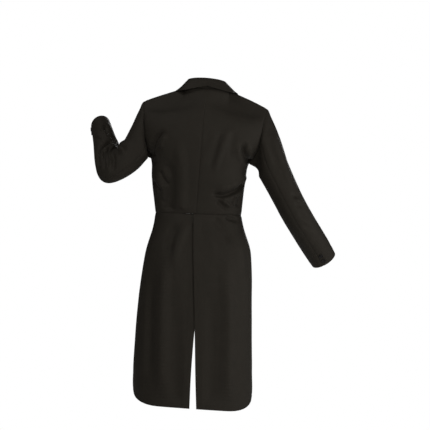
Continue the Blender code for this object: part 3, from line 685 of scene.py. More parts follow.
@dataclass
class Sleeve:
    """A two-piece sleeve along its bent arm line, with its girth and its shaped cap."""

    fineness: Fineness
    shoulder: Triple
    elbow: Triple
    cuff: Triple
    bend_radius: float
    cap_end: float
    # along, across, deep, elbow bulge, share by which it is pressed flat from the side
    girth: tuple[tuple[float, float, float, float, float], ...]
    crown: float = 0.010
    crowding: float = 1.25  # draws the columns together at the top of the sleeve
    arc_step: float = 0.004
    straight_steps: int = 40
    hind_seam: float = 3 / 8  # share of the way up the armhole's back
    fore_seam: float = 3 / 8  # share of the way up the armhole's front

    def line(self) -> tuple[np.ndarray, np.ndarray]:
        """The sleeve's centre line, its elbow rounded, as points and directions."""
        shoulder, elbow, cuff = (np.array(p) for p in (self.shoulder, self.elbow, self.cuff))
        upper, lower = unit(elbow - shoulder), unit(cuff - elbow)
        turn = math.acos(float(np.clip(upper @ lower, -1, 1)))
        start = elbow - upper * self.bend_radius * math.tan(turn / 2)
        into = unit(lower - upper * (upper @ lower))
        angles = np.linspace(0, turn, max(4, int(self.bend_radius * turn / self.arc_step)))
        arc = start + self.bend_radius * (
            np.sin(angles)[:, None] * upper + (1 - np.cos(angles))[:, None] * into
        )
        before = np.linspace(shoulder, start, self.straight_steps)
        after = np.linspace(arc[-1], cuff, self.straight_steps)
        points = np.concatenate([before, arc[1:], after[1:]])
        return points, unit(np.gradient(points, axis=0))

    def frames(self, directions: np.ndarray, top: np.ndarray) -> tuple[np.ndarray, np.ndarray]:
        """Two directions across the sleeve at each point, carried along without twist."""
        ups = [unit(top - directions[0] * (top @ directions[0]))]
        for direction in directions[1:]:
            ups.append(unit(ups[-1] - direction * (ups[-1] @ direction)))
        backs = np.cross(directions, np.array(ups))
        return np.array(ups), (backs if backs[0][1] > 0 else -backs)

    def surface(self, armhole: np.ndarray) -> np.ndarray:
        """The whole sleeve as rows of points round it, from the armhole seam to the cuff.

        Args:
            armhole: The armhole's seam, from its foot up the back and down the front.

        Returns:
            The grid, whose last column is its first one again.
        """
        points, directions = self.line()
        steps = self.fineness.armhole
        ups, backs = self.frames(directions, armhole[steps] - armhole[0])
        walked = lengths_along(points)
        climb = np.linspace(0, 2, 2 * steps + 1)
        turn_of = np.sign(1 - climb) * np.abs(1 - climb) ** self.crowding * math.pi
        girth = np.array(self.girth)
        upper = directions[0]
        bend_out = unit(upper - directions[-1])
        shoulder = np.array(self.shoulder)

        def ring(distance: float) -> np.ndarray:
            """The sleeve's round section at one distance, as offsets from its centre line."""
            across, deep, bulge, pressed = smooth(girth[:, 0], girth[:, 1:], [distance / walked[-1]])[0]
            up = np.array([np.interp(distance, walked, ups[:, k]) for k in range(3)])
            back = np.array([np.interp(distance, walked, backs[:, k]) for k in range(3)])
            offset = np.cos(turn_of)[:, None] * across * up + np.sin(turn_of)[:, None] * deep * back
            outward = np.clip(unit(offset) @ bend_out, 0, 1)
            offset = offset + (bulge * outward**2)[:, None] * bend_out
            ahead = unit(np.cross(back, up))
            sideways = np.array([1.0, 0.0, 0.0])
            flat = unit(sideways - ahead * (sideways @ ahead))
            wide = np.cross(ahead, flat)
            thinner = (offset @ flat * -pressed)[:, None] * flat
            return offset + thinner + (offset @ wide * pressed)[:, None] * wide

        reach = (armhole - shoulder) @ upper
        radial = armhole - shoulder - reach[:, None] * upper
        at_cap_end = ring(self.cap_end)
        rows = []
        for t in np.linspace(0, 1, self.fineness.cap, endpoint=False):
            into = math.sin(t * math.pi / 2)
            along = reach * (1 - t) + self.cap_end * t
            crown = self.crown * math.sin(t * math.pi) * np.cos(turn_of)
            offset = radial * (1 - into) + at_cap_end * into + crown[:, None] * unit(radial)
            rows.append(shoulder + along[:, None] * upper + offset)
        count = int(round((walked[-1] - self.cap_end) / self.fineness.sleeve_step))
        for distance in np.linspace(self.cap_end, walked[-1], count + 1):
            rows.append(walk(points, [distance])[0] + ring(distance))
        grid = np.array(rows)
        grid[:, -1] = grid[:, 0]
        return grid

    def pieces(self, armhole: np.ndarray) -> tuple[np.ndarray, np.ndarray]:
        """The top sleeve and the under sleeve, which meet at the hind-arm and fore-arm seams."""
        whole = self.surface(armhole)
        steps = self.fineness.armhole
        hind = int(round(self.hind_seam * steps))
        fore = 2 * steps - int(round(self.fore_seam * steps))
        under = np.concatenate([whole[:, fore:], whole[:, 1 : hind + 1]], axis=1)
        return whole[:, hind : fore + 1], under


@dataclass
class Collar:
    """The turned collar: a stand that rises from the neckline, and its fall."""

    fineness: Fineness
    cloth: Cloth
    gorge: float = 0.86
    fold_half: float = 0.0035
    tuck: float = 0.0030  # how far the stand's foot goes down inside the neck
    # around (0 centre back, 1 shoulder seam, 2 lapel), stand height, lean, fall out, fall up
    rows: Table = (
        (0.00, 0.0415, -0.010, 0.012, 0.013),
        (0.50, 0.0395, -0.011, 0.017, 0.001),
        (1.00, 0.0325, -0.012, 0.031, -0.0075),
        (1.45, 0.022, -0.006, 0.038, -0.001),
        (2.00, 0.009, 0.000, 0.042, 0.004),
    )
    # across the width; up, in shares of the stand and of the fall; out, in shares of the lean, of the
    # fall and of half the fold's thickness, and in metres more
    profile: Table = (
        (0.00, 0.00, 0.00, 0.00, 0.00, 0.0, 0.0000),
        (0.19, 0.55, 0.00, 0.70, 0.00, 0.0, 0.0000),
        (0.34, 0.92, 0.00, 1.00, 0.00, -0.4, 0.0000),
        (0.40, 1.00, 0.00, 1.00, 0.00, 1.0, 0.0000),
        (0.47, 0.86, 0.05, 1.00, 0.00, 2.6, 0.0000),
        (0.74, 0.42, 0.58, 0.45, 0.55, 0.0, 0.0035),
        (1.00, 0.00, 1.00, 0.00, 1.00, 0.0, 0.0000),
    )

    def grid(self, panels: dict[str, Panel], ups: np.ndarray) -> np.ndarray:
        """The collar's points: rows from its seam over the fold to the fall's edge."""
        front_steps, neck_steps = self.fineness.collar_front, self.fineness.neck
        gorge_ups = np.linspace(self.gorge, 1, front_steps + 1)[:-1]
        sides = []
        for side in Side:
            back = panels["back_" + side.word].grid
            front = panels["front_" + side.word].grid
            foot = smooth(ups, front[:, -1], gorge_ups)
            sides.append(np.concatenate([foot, back[-1, : neck_steps + 1][::-1]]))
        foot = np.concatenate([sides[0], sides[1][::-1][1:]])
        ends = [panels["back_" + side.word].grid[-1, neck_steps] for side in Side]
        centre = (ends[0] + ends[1]) / 2
        one_side = np.concatenate(
            [np.linspace(2, 1, front_steps + 1)[:-1], np.linspace(1, 0, neck_steps + 1)]
        )
        around = np.concatenate([one_side, one_side[::-1][1:]])
        tangent = unit(np.gradient(foot, axis=0))
        away = foot - centre
        away[:, 2] = 0
        out = unit(away - tangent * np.sum(away * tangent, axis=1, keepdims=True))
        rise = unit(np.cross(tangent, out))
        rise[rise[:, 2] < 0] *= -1
        out, rise = self.evened(out), self.evened(rise)
        table = np.array(self.rows)
        stand, lean, fall_out, fall_up = smooth(table[:, 0], table[:, 1:], around).T
        foot = foot - rise * self.tuck - out * (self.cloth.wall + self.cloth.layer_gap)
        rows = []
        for _, stands, falls_up, leans, falls_out, halves, more in self.profile:
            up = stands * stand + falls_up * fall_up
            over = leans * lean + falls_out * fall_out + halves * self.fold_half + more
            rows.append(foot + up[:, None] * rise + over[:, None] * out)
        knots = np.array([row[0] for row in self.profile])
        return smooth(knots, rows, np.linspace(0, 1, self.fineness.collar_across + 1))

    def evened(self, directions: np.ndarray, passes: int = 6) -> np.ndarray:
        """Directions along the collar with their sudden turns evened out."""
        for _ in range(passes):
            middle = directions[:-2] + 2 * directions[1:-1] + directions[2:]
            directions = np.concatenate([directions[:1], middle, directions[-1:]])
            directions = unit(directions)
        return directions


@dataclass
class Lapel:
    """A peaked lapel, made from its front's own points and lifted off them."""

    fineness: Fineness
    cloth: Cloth
    clear: float = 0.0026
    roll: float = 0.004
    peak_curve: float = 2.4
    curl_start: float = 0.12
    curl_pace: float = 1.6
    curl_fade: float = 0.6  # of the curl, lost by the lower end
    # along the roll line, up, width, rise of the outer edge
    rows: Table = (
        (0.00, 0.850, 0.094, 0.085),
        (0.12, 0.775, 0.090, 0.030),
        (0.40, 0.580, 0.074, 0.008),
        (0.70, 0.370, 0.048, 0.003),
        (1.00, 0.170, 0.014, 0.000),
    )

    def grid(self, front: Panel, ups: np.ndarray) -> np.ndarray:
        """The lapel's points, rows from the gorge to the break, roll line to outer edge."""
        table = np.array(self.rows)
        across = np.linspace(0, 1, self.fineness.lapel_across + 1)
        rows = []
        for along in np.linspace(0, 1, self.fineness.lapel + 1):
            up, width, rise = smooth(table[:, 0], table[:, 1:], [along])[0]
            heights = up + rise * across**self.peak_curve
            places = smooth(ups, front.grid, heights)[:, ::-1]
            aims = smooth(ups, front.normals, heights)[:, ::-1]
            points = []
            for k, share in enumerate(across):
                walked = lengths_along(places[k])
                distance = width * share
                place = walk(places[k], [distance])[0]
                aim = unit(np.array([np.interp(distance, walked, aims[k][:, i]) for i in range(3)]))
                curl = math.sin(math.pi * min(1.0, share * self.curl_pace + self.curl_start))
                curl *= 1 - self.curl_fade * along
                points.append(place + aim * (self.cloth.wall + self.clear + self.roll * curl))
            rows.append(points)
        return np.array(rows)


# Finishes


class Recipe:
    """A plain non-metal material, and the nodes that feed its surface shader."""

    def __init__(self, name: str, roughness: float, surface: dict[str, object] | None = None) -> None:
        """Starts the material.

        Args:
            name: The material's name.
            roughness: How rough its surface is.
            surface: Other sockets of the surface shader, with their values.
        """
        self.material = bpy.data.materials.new(name)
        self.material.use_nodes = True
        self.tree = self.material.node_tree
        self.shader = self.tree.nodes["Principled BSDF"]
        self.fill(self.shader, {"Roughness": roughness, **(surface or {})})

    def fill(self, node: "bpy.types.Node", values: dict[str | int, object]) -> None:
        """Gives a node's sockets their constants, or the outputs that feed them."""
        for socket, value in values.items():
            if isinstance(value, bpy.types.NodeSocket):
                self.tree.links.new(value, node.inputs[socket])
            else:
                node.inputs[socket].default_value = value

    def node(self, kind: str, values: dict[str | int, object] | None = None) -> "bpy.types.Node":
        """A new node of this kind, with its sockets filled."""
        made = self.tree.nodes.new("ShaderNode" + kind)
        self.fill(made, values or {})
        return made

    def shades(
        self,
        source: "bpy.types.NodeSocket",
        dark: Triple,
        light: Triple,
        span: Pair = (0.0, 1.0),
    ) -> "bpy.types.NodeSocket":
        """The colours from dark to light that a value picks, over a span of it."""
        ramp = self.node("ValToRGB", {"Fac": source})
        for stop, position, colour in zip(ramp.color_ramp.elements, span, (dark, light)):
            stop.position = position
            stop.color = (*colour, 1)
        return ramp.outputs["Color"]


@dataclass(frozen=True)
class WovenFinish:
    """A woven cloth: close yarns on its UV map, with a soft sheen and a little unevenness."""

    name: str
    dark: Triple
    light: Triple
    roughness: float
    specular: float
    yarns: float  # to the metre
    weave_depth: float
    mottle: float  # patches to the metre
    gloss: Triple = (1.0, 1.0, 1.0)  # the colour of its highlights
    sheen: float = 0.05
    sheen_tint: Triple = (0.8, 0.8, 0.8)
    sheen_roughness: float = 0.3
    mottle_span: Pair = (0.34, 0.66)
    rib_share: float = 0.3  # of the yarns, for the twill's ribs
    fuzz_share: float = 0.6
    relief: float = 0.20
    yarn_shade: float = 0.22  # how far single yarns darken the colour

    def dressed(self) -> "bpy.types.Material":
        """The cloth's material."""
        surface = {
            "Specular IOR Level": self.specular,
            "Specular Tint": (*self.gloss, 1),
            "Sheen Weight": self.sheen,
            "Sheen Roughness": self.sheen_roughness,
            "Sheen Tint": (*self.sheen_tint, 1),
        }
        recipe = Recipe(self.name, self.roughness, surface)
        place = recipe.node("TexCoord").outputs["Object"]
        weave = recipe.node("UVMap")
        weave.uv_map = "Weave"
        grain = weave.outputs["UV"]
        uneven = {"Scale": self.mottle, "Detail": 5, "Roughness": 0.6, "Vector": place}
        patches = recipe.node("TexNoise", uneven).outputs["Fac"]
        shades = recipe.shades(patches, self.dark, self.light, self.mottle_span)
        ribs = {"Scale": self.yarns * self.rib_share, "Distortion": 1.2, "Detail": 2, "Vector": grain}
        twill = recipe.node("TexWave", ribs)
        twill.bands_direction = "DIAGONAL"
        hairs = {"Scale": self.yarns * self.fuzz_share, "Detail": 2, "Vector": grain}
        fuzz = recipe.node("TexNoise", hairs).outputs["Fac"]
        height = recipe.node("Math", {0: twill.outputs["Fac"], 1: fuzz}).outputs["Value"]
        raised = {"Strength": self.relief, "Distance": self.weave_depth, "Height": height}
        bump = recipe.node("Bump", raised).outputs["Normal"]
        yarn = recipe.node("Mix")
        yarn.data_type = "RGBA"
        yarn.blend_type = "MULTIPLY"
        recipe.fill(yarn, {"Factor": self.yarn_shade, "A": shades, "B": fuzz})
        recipe.fill(recipe.shader, {"Base Color": yarn.outputs["Result"], "Normal": bump})
        return recipe.material


@dataclass(frozen=True)
class HornFinish:
    """Dark polished horn with faint streaks."""

    name: str = "dark horn"
    dark: Triple = (0.006, 0.005, 0.005)
    light: Triple = (0.014, 0.011, 0.009)
    roughness: float = 0.55
    specular: float = 0.2
    streaks: Triple = (90, 90, 380)  # to the metre, each way
    span: Pair = (0.38, 0.70)

    def dressed(self) -> "bpy.types.Material":
        """The horn's material."""
        recipe = Recipe(self.name, self.roughness, {"Specular IOR Level": self.specular})
        place = recipe.node("TexCoord").outputs["Object"]
        drawn = recipe.node("Mapping", {"Scale": self.streaks, "Vector": place}).outputs["Vector"]
        streaks = recipe.node("TexNoise", {"Scale": 1.0, "Detail": 4, "Vector": drawn}).outputs["Fac"]
        recipe.fill(recipe.shader, {"Base Color": recipe.shades(streaks, self.dark, self.light, self.span)})
        return recipe.material


@dataclass(frozen=True)
class ThreadFinish:
    """Twisted black sewing thread."""

    name: str = "thread"
    dark: Triple = (0.006, 0.006, 0.006)
    light: Triple = (0.016, 0.015, 0.014)
    roughness: float = 0.8
    twists: float = 1400  # to the metre

    def dressed(self) -> "bpy.types.Material":
        """The thread's material."""
        recipe = Recipe(self.name, self.roughness)
        place = recipe.node("TexCoord").outputs["Object"]
        twist = recipe.node("TexWave", {"Scale": self.twists, "Vector": place}).outputs["Fac"]
        recipe.fill(recipe.shader, {"Base Color": recipe.shades(twist, self.dark, self.light)})
        return recipe.material


SUITING = WovenFinish(
    name="charcoal-black suiting",
    dark=(0.0174, 0.0146, 0.0110),
    light=(0.0194, 0.0163, 0.0123),
    roughness=0.70,
    sheen=0.02,
    sheen_tint=(0.75, 0.72, 0.68),
    sheen_roughness=0.5,
    specular=0.22,
    gloss=(1.0, 0.93, 0.82),
    yarns=1300,
    weave_depth=0.00025,
    mottle=26,
)
SATIN = WovenFinish(
    name="lapel satin",
    dark=(0.0095, 0.0088, 0.0082),
    light=(0.0125, 0.0115, 0.0105),
    roughness=0.46,
    specular=0.36,
    yarns=2600,
    weave_depth=0.00006,
    mottle=18,
)
LINING = WovenFinish(
    name="body lining",
    dark=(0.0125, 0.0118, 0.0112),
    light=(0.0170, 0.0160, 0.0150),
    roughness=0.55,
    specular=0.4,
    yarns=2200,
    weave_depth=0.00006,
    mottle=20,
)


# Buttons


@dataclass
class ButtonSet:
    """The sewn-on buttons: two rows on the fronts and two buttons at each cuff."""

    cloth: Cloth
    horn: "bpy.types.Material"
    thread: "bpy.types.Material"
    front_radius: float = 0.0100
    cuff_radius: float = 0.0075
    thick: float = 0.0035
    shank: float = 0.0004
    hole_share: float = 0.11  # of the button's radius
    hole_set: float = 0.24
    blank_share: float = 0.92  # of the thickness, before the rim is raised
    soften_share: float = 0.14
    # inset, of the radius, and rise, of the thickness: the rim's slope, its crest and the fall inside it
    rim: tuple[Pair, ...] = ((0.12, 0.08), (0.12, 0.0), (0.10, -0.42))
    thread_share: float = 0.085  # of the radius
    thread_overlap: float = 1.04
    thread_rise: float = 0.60  # of the thickness
    thread_height: float = 1.6  # of its breadth
    # up and across, in the plain figure's steps
    front_places: tuple[Pair, ...] = ((0.7, 6.35), (1.9, 6.35), (3.2, 6.05))
    cuff_rises: tuple[float, ...] = (0.018, 0.040)
    cuff_in: float = 0.5
    # the plain figure's steps: up to the armpit, across a front, round half an armhole
    plain_steps: tuple[int, int, int] = (6, 8, 8)

    def cylinder(self, sides: int, radius: float, depth: float, place: Triple) -> "bpy.types.Object":
        """A new upright cylinder."""
        bpy.ops.object.select_all(action="DESELECT")
        bpy.ops.mesh.primitive_cylinder_add(vertices=sides, radius=radius, depth=depth, location=place)
        return bpy.context.object

    def blank(self, radius: float) -> "bpy.types.Object":
        """A four-hole button with a raised rim and its thread, facing +Z at the origin."""
        tall = self.thick * self.blank_share
        disc = self.cylinder(40, radius, tall, (0, 0, tall / 2))
        bpy.ops.object.mode_set(mode="EDIT")
        self.pick_cap(disc, tall)
        for inset, rise in self.rim:
            bpy.ops.mesh.inset(thickness=radius * inset, depth=self.thick * rise)
        bpy.ops.object.mode_set(mode="OBJECT")
        soften = disc.modifiers.new("soften", "BEVEL")
        soften.width = self.thick * self.soften_share
        soften.segments = 3
        soften.limit_method = "ANGLE"
        soften.angle_limit = math.radians(35)
        bpy.ops.object.modifier_apply(modifier=soften.name)
        holes = self.hole_places(radius)
        for x, y in holes:
            drill = self.cylinder(14, radius * self.hole_share, self.thick * 3, (x, y, 0))
            bpy.context.view_layer.objects.active = disc
            cut = disc.modifiers.new("hole", "BOOLEAN")
            cut.operation = "DIFFERENCE"
            cut.solver = "EXACT"
            cut.object = drill
            bpy.ops.object.modifier_apply(modifier=cut.name)
            bpy.data.objects.remove(drill, do_unlink=True)
        disc.data.materials.clear()
        disc.data.materials.append(self.horn)
        stitches = [self.stitch(a, b, radius) for a, b in zip(holes[:2], holes[2:])]
        bpy.ops.object.select_all(action="DESELECT")
        for part in [*stitches, disc]:
            part.select_set(True)
        bpy.context.view_layer.objects.active = disc
        bpy.ops.object.join()
        bpy.ops.object.shade_smooth_by_angle(angle=math.radians(40))
        return disc

    def hole_places(self, radius: float) -> list[Pair]:
        """Where the four holes lie, in order round the button."""
        reach = radius * self.hole_set
        return [(reach, reach), (-reach, reach), (-reach, -reach), (reach, -reach)]

    def pick_cap(self, disc: "bpy.types.Object", height: float) -> None:
        """Selects the faces that look up and lie at a height, in edit mode."""
        bpy.ops.mesh.select_all(action="DESELECT")
        shape = bmesh.from_edit_mesh(disc.data)
        for face in shape.faces:
            at = (disc.matrix_world @ face.calc_center_median()).z
            face.select = face.normal.z > 0 and math.isclose(at, height, rel_tol=0.01)
        bmesh.update_edit_mesh(disc.data)

    def stitch(self, start: Pair, end: Pair, radius: float) -> "bpy.types.Object":
        """One thread bar that crosses from a hole to the one opposite."""
        run = Vector((end[0] - start[0], end[1] - start[1], 0))
        thread = radius * self.thread_share
        bpy.ops.object.select_all(action="DESELECT")
        bpy.ops.mesh.primitive_uv_sphere_add(segments=12, ring_count=10, radius=thread)
        bar = bpy.context.object
        turn = run.to_track_quat("X", "Z").to_matrix().to_4x4()
        middle = Vector(((start[0] + end[0]) / 2, (start[1] + end[1]) / 2, self.thick * self.thread_rise))
        long = run.length / (2 * thread) * self.thread_overlap
        stretch = Matrix.Diagonal((long, 1.0, self.thread_height, 1.0))
        bar.data.transform(Matrix.Translation(middle) @ turn @ stretch)
        bar.matrix_world = Matrix.Identity(4)
        bar.data.materials.append(self.thread)
        return bar

    def sew_on(
        self, name: str, blank: "bpy.types.Object", place: np.ndarray, aim: np.ndarray
    ) -> "bpy.types.Object":
        """Copy a blank button to its place on the cloth.

        Args:
            name: The CAD button that this piece stands for.
            blank: The button facing +Z at the origin.
            place: The point of the cloth under its middle.
            aim: The way it faces.

        Returns:
            The piece.
        """
        side = unit(np.cross(aim, np.array([0.0, 0.0, 1.0])))
        other = np.cross(aim, side)
        base = place + aim * (self.cloth.layer_gap + self.shank)
        turn = Matrix(np.stack([side, other, aim], axis=1).tolist()).to_4x4()
        mesh = blank.data.copy()
        mesh.transform(Matrix.Translation(Vector(base)) @ turn)
        if turn.determinant() < 0:
            mesh.flip_normals()
        piece = bpy.data.objects.new("sewn_" + name, mesh)
        mesh.name = piece.name
        bpy.context.scene.collection.objects.link(piece)
        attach(piece, "root")
        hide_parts(name)
        LOG.info("%s: %d faces", piece.name, len(mesh.polygons))
        return piece

    def build(self, panels: dict[str, Panel], fineness: Fineness) -> None:
        """Sews on every button, where the plain figure's steps put it."""
        blanks = {r: self.blank(r) for r in (self.front_radius, self.cuff_radius)}
        up_steps, front_steps, arm_steps = self.plain_steps
        for side in Side:
            front = panels["front_" + side.word]
            for number, (row, column) in enumerate(self.front_places, start=1):
                row, column = row * fineness.waist_to_armpit / up_steps, column * fineness.front / front_steps
                place, aim = self.spot(front, row, column)
                self.sew_on(f"button_front_{side.word}_{number}", blanks[self.front_radius], place, aim)
            sleeve = panels["sleeve_top_" + side.word]
            for number, rise in enumerate(self.cuff_rises, start=1):
                step = float(np.linalg.norm(sleeve.grid[-1, 0] - sleeve.grid[-2, 0]))
                row = sleeve.rows - 1 - rise / step
                place, aim = self.spot(sleeve, row, self.cuff_in * fineness.armhole / arm_steps)
                self.sew_on(f"button_cuff_{side.word}_{number}", blanks[self.cuff_radius], place, aim)
        for blank in blanks.values():
            bpy.data.objects.remove(blank, do_unlink=True)

    def spot(self, panel: Panel, row: float, column: float) -> tuple[np.ndarray, np.ndarray]:
        """A place on a panel and the way the cloth faces there."""
        r, c = int(round(row)), int(round(column))
        return panel.grid[r, c], unit(panel.normals[r, c])


# The folds of wear


LEFT_ARM = ("sleeve_top_left", "sleeve_under_left")
RIGHT_ARM = ("sleeve_top_right", "sleeve_under_right")
USUAL = (0, 1, 0.3, 0.35)  # lean, crispness, fade at the start and at the end
# the panels and the way they face, then each fold: width, depth, the four above, run; in millimetres
FOLDS: tuple[tuple[tuple[str, ...], Facing, tuple[tuple, ...]], ...] = (
    (("back",), Facing.BACK, (
        # the drag from the right blade to the waist, with the cloth standing beside it
        (15, -4.5, 0, 1, 0.2, 0.3, ((-58, -150), (-45, -190), (-33, -228), (-19, -270), (-10, -305))),
        (20, 5, 0, 1, 0.25, 0.3, ((-84, -135), (-62, -195), (-43, -250), (-22, -315))),
        (24, 3, *USUAL, ((-30, -128), (-20, -180), (6, -240), (24, -300))),
        (20, -3.5, *USUAL, ((-104, -150), (-90, -205), (-80, -270))),
        # the crease above the waist on the right
        (15, -15.5, -0.5, 1.1, 0.2, 0.05, ((-14, -380), (-34, -388), (-53, -391), (-74, -388),
            (-96, -380), (-120, -367), (-140, -345))),
        (22, 6, 0, 1, 0.3, 0.1, ((-24, -358), (-56, -358), (-90, -349), (-120, -334), (-142, -312))),
        (11, 6.5, 0, 1, 0.2, 0.3, ((-52, -402), (-72, -416), (-90, -434))),
        (10, 6.5, 0, 1, 0.2, 0.3, ((-104, -390), (-98, -408), (-90, -428))),
        (13, -7.5, 0, 1, 0.2, 0.3, ((-34, -402), (-52, -420), (-70, -442))),
        (12, -7, 0, 1, 0.2, 0.3, ((-122, -386), (-115, -408), (-106, -432))),
        # the left armpit and the left waist
        (17, -14, -0.2, 1.1, 0.05, 0.35, ((206, -250), (195.5, -212), (180, -182), (165.5, -166),
            (140, -156))),
        (26, -8.5, 0, 1, 0.2, 0.3, ((192, -285), (187, -238), (172, -195))),
        (12, 4, *USUAL, ((168, -222), (158, -188), (138, -172))),
        (12, -8, 0, 1.2, 0.2, 0.2, ((171, -294), (161, -325), (143, -355))),
        (14, 4.5, *USUAL, ((156, -280), (145, -310), (128, -342))),
        (12, -8, 0, 1.2, 0.1, 0.25, ((200, -332), (182, -357), (163, -381))),
        (11, 3.5, *USUAL, ((190, -316), (173, -342), (155, -366))),
        (30, -12, 0, 1, 0.25, 0.08, ((146, -250), (136, -310), (133, -360), (140, -445))),
        (32, 7.5, 0, 1, 0.3, 0.08, ((104, -180), (94, -260), (90, -340), (94, -445))),
        (10, -3, *USUAL, ((150, -420), (166, -400), (190, -392))),
        # the right armpit
        (16, -15, 0.15, 1.1, 0.3, 0.05, ((-140, -190), (-135, -222), (-143, -248), (-157, -267),
            (-172, -292))),
        (15, 3.5, *USUAL, ((-114, -205), (-116, -245), (-132, -285))),
        (12, 3.5, *USUAL, ((-156, -205), (-160, -236), (-172, -262))),
    )),
    (("front_left",), Facing.FRONT, (
        # the fronts, drawn from the buttons and the waist
        (13, -4, *USUAL, ((70, -395), (100, -372), (135, -362))),
        (15, -4.5, *USUAL, ((75, -430), (110, -418), (150, -425))),
        (18, -4.5, *USUAL, ((90, -330), (125, -290), (150, -240))),
    )),
    (("front_right",), Facing.FRONT, (
        (14, -4.5, *USUAL, ((-66, -402), (-96, -384), (-128, -382))),
        (19, -4.5, *USUAL, ((-70, -352), (-104, -312), (-140, -262))),
        (12, 3, *USUAL, ((-72, -440), (-100, -436), (-132, -446))),
    )),
    (("tail_left",), Facing.BACK, (
        # the left tail falls back from the edge that laps over it
        (8, -4.5, 0, 1.3, 0.05, 0.15, ((47, -475), (47, -660), (41, -860))),
        (26, 7, 0, 1, 0.2, 0.4, ((60, -466), (85, -520), (108, -575), (118, -680))),
        (26, -8, *USUAL, ((108, -478), (128, -530), (140, -610))),
        (36, 12, 0, 1, 0.3, 0.2, ((146, -560), (158, -760), (164, -1130))),
        (34, -6, 0, 1, 0.4, 0.1, ((112, -700), (112, -860), (110, -1140))),
        (24, -8, 0, 1, 0.3, 0.3, ((200, -620), (206, -860), (210, -1090))),
    )),
    (("tail_right",), Facing.BACK, (
        (22, -6.5, 0, 1, 0.2, 0.35, ((-18, -460), (-55, -505), (-88, -565))),
        (26, 3.5, *USUAL, ((20, -470), (-12, -530), (-30, -620))),
        (36, 11, 0, 1, 0.35, 0.15, ((-62, -560), (-76, -760), (-74, -1140))),
        (36, -6, 0, 1, 0.4, 0.1, ((-18, -700), (-20, -900), (-14, -1140))),
        (14, -8, 0, 1, 0.2, 0.5, ((-64, -459), (-86, -470), (-106, -477), (-120, -486))),
        (16, -4, *USUAL, ((-130, -540), (-146, -600), (-150, -700))),
    )),
    (("tail_left",), Facing.FRONT, (
        # the tails' sides and front edges
        (30, 6, 0, 1, 0.3, 0.3, ((120, -520), (150, -700), (150, -980))),
        (26, -5.5, 0, 1, 0.3, 0.3, ((180, -560), (205, -760), (200, -1060))),
    )),
    (("tail_right",), Facing.FRONT, (
        (32, 5.5, 0, 1, 0.3, 0.3, ((-100, -520), (-112, -720), (-104, -1000))),
        (24, -5, 0, 1, 0.3, 0.3, ((-145, -560), (-155, -800), (-140, -1060))),
    )),
    (LEFT_ARM, Facing.BACK, (
        # the cloth bagged at the elbow hangs over the raised forearm
        (12, -19, 0.35, 1.2, 0.17, 0.3, ((331, -192), (338, -191), (348, -193), (362, -199), (373, -207),
            (383, -218), (389.5, -230), (394, -247), (395, -266), (392, -286), (388, -303))),
        (10, 5.5, 0, 1, 0.15, 0.4, ((328, -206), (345, -205), (361, -212), (373, -224), (380, -242),
            (381, -270))),
        (16, -8, 0, 1, 0.1, 0.4, ((328, -196), (306, -206), (286, -220))),
    )),
    (("sleeve_top_left",), Facing.BACK, (
        (14, -18, -0.3, 1.1, 0.2, 0.22, ((381, -128), (363, -146), (348, -164), (337, -178),
            (327, -192))),
        (7.5, 6, 0, 1, 0.15, 0.3, ((332, -206), (347, -220), (352, -242), (349, -264), (347.5, -298))),
        (7.5, 5, 0, 1, 0.15, 0.3, ((364, -222), (362, -252), (358, -280), (355, -308))),
        (6, -5, *USUAL, ((354.5, -240), (354.5, -262), (354.5, -290))),
        (8, -5, 0, 1, 0.2, 0.3, ((371.5, -219), (369, -252), (368, -297))),
        (12, -10, *USUAL, ((337, -230), (337, -272), (340, -306))),
        (5, -4, *USUAL, ((353.6, -212), (358, -226), (363, -240))),
        (11, -3.5, *USUAL, ((412, -176), (396, -180), (380, -178))),
        (8, 3, *USUAL, ((392, -140), (374, -156), (362, -176))),
    )),
    (LEFT_ARM, Facing.ALL, (
        # the cloth gathered up in the crook of the elbow
        (34, 17, 0, 1, 0.4, 0.4, ((286, -216), (304, -214), (322, -212))),
    )),
    (LEFT_ARM, Facing.FRONT, (
        # where the sleeve bunches inside the elbow, in front
        (14, -6, *USUAL, ((300, -190), (322, -226), (330, -262))),
        (12, -5, *USUAL, ((330, -180), (352, -212), (358, -246))),
    )),
    (("sleeve_under_left",), Facing.BACK, (
        (16, -3.5, *USUAL, ((240, -262), (270, -284), (300, -300))),
    )),
    (("sleeve_top_right",), Facing.BACK, (
        (20, 6, 0, 1, 0.2, 0.35, ((-232, -150), (-258, -215), (-286, -300), (-318, -380))),
        (18, -5, *USUAL, ((-216, -170), (-236, -232), (-262, -300))),
        (14, -4.5, 0, 1, 0.4, 0.5, ((-300, -378), (-316, -388), (-334, -394))),
        (14, -4.5, 0, 1, 0.4, 0.5, ((-312, -414), (-331, -421), (-350, -432))),
        (14, -4, 0, 1, 0.4, 0.5, ((-326, -451), (-347, -460), (-368, -472))),
        (13, -3, 0, 1, 0.4, 0.5, ((-342, -494), (-362, -500), (-380, -507))),
        (11, 3.5, *USUAL, ((-312, -398), (-334, -406), (-356, -418))),
    )),
    (RIGHT_ARM, Facing.FRONT, (
        # inside the elbow, in front
        (16, -6.5, *USUAL, ((-268, -400), (-300, -412), (-334, -404))),
        (14, -5.5, *USUAL, ((-276, -438), (-312, -448), (-346, -436))),
        (13, -4.5, *USUAL, ((-262, -356), (-292, -368), (-318, -360))),
    )),
)


def folds_on(name: str) -> list[Fold]:
    """The folds that lie on the panel of this name."""
    return [
        Fold(np.array(run) / 1000, width / 1000, depth / 1000, lean, crisp, facing, (start, end))
        for names, facing, rows in FOLDS
        for width, depth, lean, crisp, start, end, run in rows
        if name.startswith(names)
    ]


